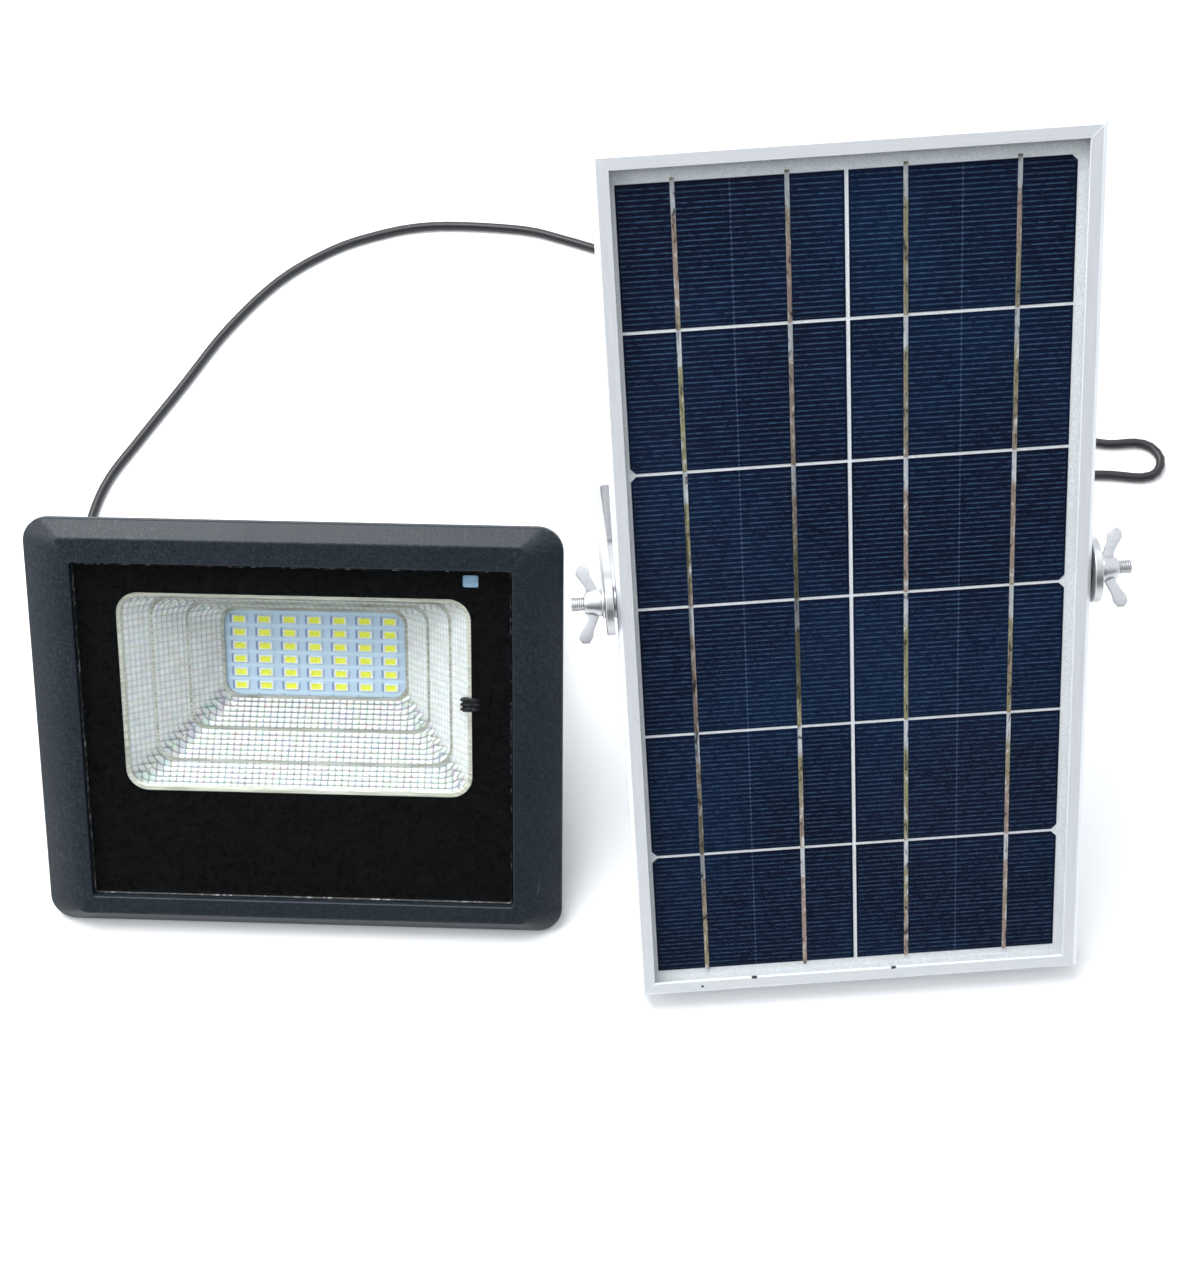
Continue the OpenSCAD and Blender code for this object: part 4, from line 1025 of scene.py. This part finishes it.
class FLOOD_OT_reflector(bpy.types.Operator):
    """Build the stepped reflector"""

    bl_idname = "flood.reflector"
    bl_label = "Reflector"

    tiers: IntProperty(name="Tiers", description="Number of tiers", default=3)
    ledge: length("Ledge", "Width of the ledge between two tiers", 0.0012)

    def execute(self, context):
        s = context.scene.flood_lamp
        front, deep = -s.reflector_front, s.reflector_depth / self.tiers
        rim, hair = s.rim, 0.00002
        corner, up = s.window_corner, s.window_up
        rings = [
            (s.window_width + 0.004, s.window_height + 0.004, corner + 0.002, front, up, 0.0),
            (s.window_width - 0.4 * rim, s.window_height - 0.4 * rim, corner - 0.2 * rim, front - hair, up, 0.0),
            (s.window_width - 1.5 * rim, s.window_height - 1.5 * rim, corner - 0.75 * rim, front - 0.0003, up, 0.0),
            (s.window_width - 2 * rim, s.window_height - 2 * rim, corner - rim, front - 0.0012, up, 0.0),
        ]
        kinds = [1, 1, 1]
        for k in range(self.tiers + 1):
            share = k / self.tiers
            spans = ((s.window_width, s.opening_width), (s.window_height, s.opening_height))
            size = [a + (b - a) * share for a, b in spans]
            corner, up, z = s.window_corner - 0.003 * share, s.window_up + s.opening_up * share, front - deep * k
            across = s.opening_right * share
            if k:
                rings.append((size[0] + 2 * self.ledge, size[1] + 2 * self.ledge, corner, z, up, across))
                rings.append((size[0], size[1], corner, z - hair, up, across))
                kinds += [0, 2]
        back = front - s.reflector_depth - s.reflector_wall
        rings.append((s.opening_width, s.opening_height, s.window_corner - 0.003, back, up, across))
        kinds.append(2)
        bm = new_part()
        for kind, faces in zip(kinds, loft(bm, rings, caps=(False, False), steps=8)):
            for face in faces:
                face.material_index = kind

        def walls(bm):
            layer = bm.loops.layers.uv.verify()
            for face in bm.faces:
                sideways = abs(face.normal.x) > abs(face.normal.y)
                for corner in face.loops:
                    co = corner.vert.co
                    corner[layer].uv = (co.y if sideways else co.x, co.z * (1.78 if sideways else 1.6))

        piece = finish_part(
            bm, "lamp_reflector", "lamp_head",
            [finish("Reflector Silver"), finish("Reflector Rim"), finish("Reflector Ledge")], lamp_frame(),
            ["reflector"], smooth=20, uv=walls,
        )
        wall = piece.modifiers.new("Wall", "SOLIDIFY")
        wall.thickness, wall.offset = 0.0008, 1.0
        return {"FINISHED"}


class FLOOD_OT_leds(bpy.types.Operator):
    """Build the rows of LEDs on the LED board"""

    bl_idname = "flood.leds"
    bl_label = "LEDs"

    body: sizes("LED body", "Size of an LED body", (0.0057, 0.0030, 0.0008))

    def execute(self, context):
        s = context.scene.flood_lamp
        up = s.window_up + s.opening_up
        front = -s.board_depth
        bm = new_part()
        for i in range(s.led_count[0]):
            for j in range(s.led_count[1]):
                x = s.opening_right + (i - (s.led_count[0] - 1) / 2) * s.led_pitch[0]
                y = up + (j - (s.led_count[1] - 1) / 2) * s.led_pitch[1]
                verts = block(bm, self.body, (x, y, front + self.body[2] / 2))
                top = max({f for v in verts for f in v.link_faces}, key=lambda f: f.calc_center_median().z)
                inset = bmesh.ops.inset_region(bm, faces=[top], thickness=0.00035, depth=0.0)
                sunk = bmesh.ops.inset_region(bm, faces=[top], thickness=0.00012, depth=-0.0002)
                bmesh.ops.scale(bm, vec=(0.80, 1, 1), space=Matrix.Translation((-x, -y, 0)), verts=top.verts)
                top.material_index = 1
                for face in inset["faces"] + sunk["faces"]:
                    face.material_index = 0
        looks = [finish("LED Body"), finish("LED Phosphor")]
        finish_part(bm, "led_array", "lamp_head", looks, lamp_frame(), ["led_packages"])
        return {"FINISHED"}


class FLOOD_OT_lamp_glass(bpy.types.Operator):
    """Build the lamp's glass with its ground edges, and the small clip at its right"""

    bl_idname = "flood.lamp_glass"
    bl_label = "Lamp glass"

    gap: length("Gap", "Gap round the glass", 0.0005)
    arris: length("Ground edge", "Width of the glass's ground edge", 0.00035)

    def execute(self, context):
        s = context.scene.flood_lamp
        width, height, drop = s.recess_width - 2 * self.gap, s.recess_height - 2 * self.gap, -s.recess_drop
        front, back, a = -s.glass_set, -s.glass_set - s.glass_thick, self.arris
        bm = new_part()
        bands = loft(bm, [
            (width - 2 * a, height - 2 * a, 0.001, front, drop), (width, height, 0.0014, front - a, drop),
            (width, height, 0.0014, back + a, drop), (width - 2 * a, height - 2 * a, 0.001, back, drop),
        ])
        for face in bands[0] + bands[2]:
            face.material_index = 1
        finish_part(
            bm, "lamp_glass", "lamp_head", [finish("Lamp Glass"), finish("Glass Arris")],
            lamp_frame(), ["front_glass"], smooth=20,
        )
        bm = new_part()
        edge, up = s.window_width / 2, s.window_up - 0.0020
        block(bm, (0.0062, 0.0062, 0.0015), (edge - 0.0007, up, back - 0.0007), 0.0005, 3)
        for k in (-1, 0, 1):
            block(bm, (0.0078, 0.0010, 0.0018), (edge - 0.0007, up + k * 0.0020, back - 0.0008), 0.0003, 3)
        looks = [finish("Clip Plastic")]
        finish_part(bm, "window_clip", "lamp_head", looks, lamp_frame(), ["reflector_clip"])
        return {"FINISHED"}


EASED = {
    "lamp_housing": 0.0006, "lamp_bracket": 0.0004, "panel_bracket": 0.0004, "junction_box": 0.0006, "junction_lid": 0.0005,
    "lamp_gland": 0.0003, "lamp_gland_nut": 0.0004, "lamp_gland_seal": 0.0003, "lamp_pivot_bolts": 0.0003,
    "lamp_pivot_washers": 0.0002, "panel_washers": 0.0002, "housing_screws": 0.0003, "junction_screws": 0.0003,
    "lamp_plug": 0.0004, "coupling_ring": 0.0004, "panel_socket": 0.0004, "coil_tie": 0.0003, "panel_strain_relief": 0.0004,
}


class FLOOD_OT_eased(bpy.types.Operator):
    """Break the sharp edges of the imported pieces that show"""

    bl_idname = "flood.eased"
    bl_label = "Eased edges"

    def execute(self, context):
        bodies = {node: body for body, nodes in frame["record"]["behaviour"]["bodies"].items() for node in nodes}
        for node, width in EASED.items():
            bm = new_part()
            bm.from_mesh(frame["nodes"][node].data)
            bmesh.ops.transform(bm, matrix=frame["nodes"][node].matrix_world, verts=bm.verts)
            bmesh.ops.remove_doubles(bm, verts=bm.verts, dist=1e-6)
            bmesh.ops.dissolve_limit(bm, angle_limit=math.radians(0.5), verts=bm.verts, edges=bm.edges)
            piece = finish_part(
                bm, "eased_" + node, bodies[node], [finish(NODE_FINISHES[node])], None, [node], width, 2, 30,
            )
            frame["eased"] = {**frame.get("eased", {}), node: piece}
        return {"FINISHED"}


class FLOOD_OT_panel_frame(bpy.types.Operator):
    """Build the four mitred rails of the panel's frame"""

    bl_idname = "flood.panel_frame"
    bl_label = "Panel frame"

    def execute(self, context):
        s = context.scene.flood_panel
        t, w, d = s.lip_thick, s.wall, s.depth
        profile = [
            (0, -s.slope), (s.slope, 0), (s.lip, 0), (s.lip, -t), (w, -t), (w, -s.shelf_depth), (s.shelf, -s.shelf_depth),
            (s.shelf, -s.shelf_depth - t), (w, -s.shelf_depth - t), (w, t - d), (s.back_lip, t - d), (s.back_lip, -d), (0, -d),
        ]
        for name, run, half, turn in (
            ("frame_left", s.height, s.width / 2, 0), ("frame_right", s.height, s.width / 2, 180),
            ("frame_top", s.width, s.height / 2, -90), ("frame_bottom", s.width, s.height / 2, 90),
        ):
            bm = new_part()
            face = bm.faces.new([bm.verts.new((x - half, -run / 2, z)) for x, z in profile])
            grown = bmesh.ops.extrude_face_region(bm, geom=[face])
            fresh = [v for v in grown["geom"] if isinstance(v, bmesh.types.BMVert)]
            bmesh.ops.translate(bm, vec=(0, run, 0), verts=fresh)
            for side in (-1, 1):
                bmesh.ops.bisect_plane(
                    bm, geom=bm.verts[:] + bm.edges[:] + bm.faces[:], plane_co=(-half, side * run / 2, 0),
                    plane_no=(1, side, 0) if side > 0 else (1, -1, 0), clear_outer=False, clear_inner=False,
                )
            keep = [
                f for f in bm.faces
                if abs(f.calc_center_median().y) > run / 2 - (f.calc_center_median().x + half) + 1e-7
            ]
            bmesh.ops.delete(bm, geom=keep, context="FACES")
            loose = [v for v in bm.verts if not v.link_faces]
            bmesh.ops.delete(bm, geom=loose, context="VERTS")
            bmesh.ops.holes_fill(bm, edges=[e for e in bm.edges if e.is_boundary], sides=0)
            bmesh.ops.transform(bm, matrix=Matrix.Rotation(math.radians(turn), 4, "Z"), verts=bm.verts)
            kind = "Frame Side" if turn in (0, 180) else "Frame End"
            finish_part(bm, "rail_" + name[6:], "panel", [finish(kind)], panel_frame(), [name], 0.00018, 2, 30)
        return {"FINISHED"}


def wing_nut(bm):
    """A wing nut on the X axis, its seat at x = 0 and its wings out along +X."""
    turned(bm, [
        (0.0, 0.00262), (0.0, 0.0050), (0.0005, 0.0052), (0.0016, 0.0051),
        (0.0040, 0.0043), (0.0060, 0.0041), (0.0065, 0.0037), (0.0065, 0.00262),
    ])
    bmesh.ops.bridge_loops(bm, edges=[e for e in bm.edges if e.is_boundary])
    shape = [
        (0.0012, 0.0036), (0.0012, 0.0048), (0.0022, 0.0070), (0.0036, 0.0100), (0.0040, 0.0128), (0.0056, 0.0150), (0.0080, 0.0150),
        (0.0095, 0.0132), (0.0092, 0.0108), (0.0072, 0.0080), (0.0058, 0.0056), (0.0056, 0.0036),
    ]
    for side in (-1, 1):
        face = bm.faces.new([bm.verts.new((x, side * r, -0.0008)) for x, r in shape])
        grown = bmesh.ops.extrude_face_region(bm, geom=[face])
        fresh = [v for v in grown["geom"] if isinstance(v, bmesh.types.BMVert)]
        bmesh.ops.translate(bm, vec=(0, 0, 0.0016), verts=fresh)
        edges = list({e for f in grown["geom"] if isinstance(f, bmesh.types.BMFace) for e in f.edges} | set(face.edges))
        bmesh.ops.bevel(
            bm, geom=edges, offset=0.00045, offset_type="OFFSET", segments=3,
            profile=0.5, affect="EDGES", material=-1,
        )


class FLOOD_OT_wing_nuts(bpy.types.Operator):
    """Build the two wing nuts"""

    bl_idname = "flood.wing_nuts"
    bl_label = "Wing nuts"

    def execute(self, context):
        s = context.scene.flood_panel
        for name, side, turn, body in (("left", -1, s.left_turn, "left_nut"), ("right", 1, s.right_turn, "right_nut")):
            bm = new_part()
            wing_nut(bm)
            bmesh.ops.transform(bm, matrix=Matrix.Rotation(turn, 4, "X"), verts=bm.verts)
            bmesh.ops.translate(bm, vec=(s.nut_seat, 0, -s.pivot_depth), verts=bm.verts)
            if side < 0:
                bmesh.ops.scale(bm, vec=(-1, 1, 1), verts=bm.verts)
            finish_part(bm, "wing_nut_" + name, body, [finish("Zinc Steel")], panel_frame(), [name + "_wing_nut"])
        return {"FINISHED"}


class FLOOD_PT_panel(bpy.types.Panel):
    """Lists the steps and their settings"""

    bl_idname = "FLOOD_PT_panel"
    bl_label = "Solar Flood Light"
    bl_space_type = "VIEW_3D"
    bl_region_type = "UI"
    bl_category = "Solar Flood Light"

    def draw(self, context):
        for operator in OPERATORS:
            self.layout.operator(operator.bl_idname)
        for name in GROUPS:
            box = self.layout.box()
            box.label(text=name.replace("_", " ").title())
            group = getattr(context.scene, name)
            for key in group.bl_rna.properties.keys():
                if key not in {"rna_type", "name"}:
                    box.prop(group, key)


OPERATORS = (
    FLOOD_OT_stage, FLOOD_OT_eased, FLOOD_OT_cable, FLOOD_OT_bezel, FLOOD_OT_lamp_glass, FLOOD_OT_reflector, FLOOD_OT_leds,
    FLOOD_OT_panel_frame, FLOOD_OT_wing_nuts, FLOOD_OT_finishes,
)
CLASSES = tuple(GROUPS.values()) + OPERATORS + (FLOOD_PT_panel,)


def register():
    for item in CLASSES:
        bpy.utils.register_class(item)
    for name, group in GROUPS.items():
        setattr(bpy.types.Scene, name, PointerProperty(type=group))


def unregister():
    for name in GROUPS:
        delattr(bpy.types.Scene, name)
    for item in reversed(CLASSES):
        bpy.utils.unregister_class(item)


def main():
    register()
    make_groups()
    for operator in OPERATORS:
        family, name = operator.bl_idname.split(".")
        getattr(getattr(bpy.ops, family), name)()


if __name__ == "__main__":
    main()
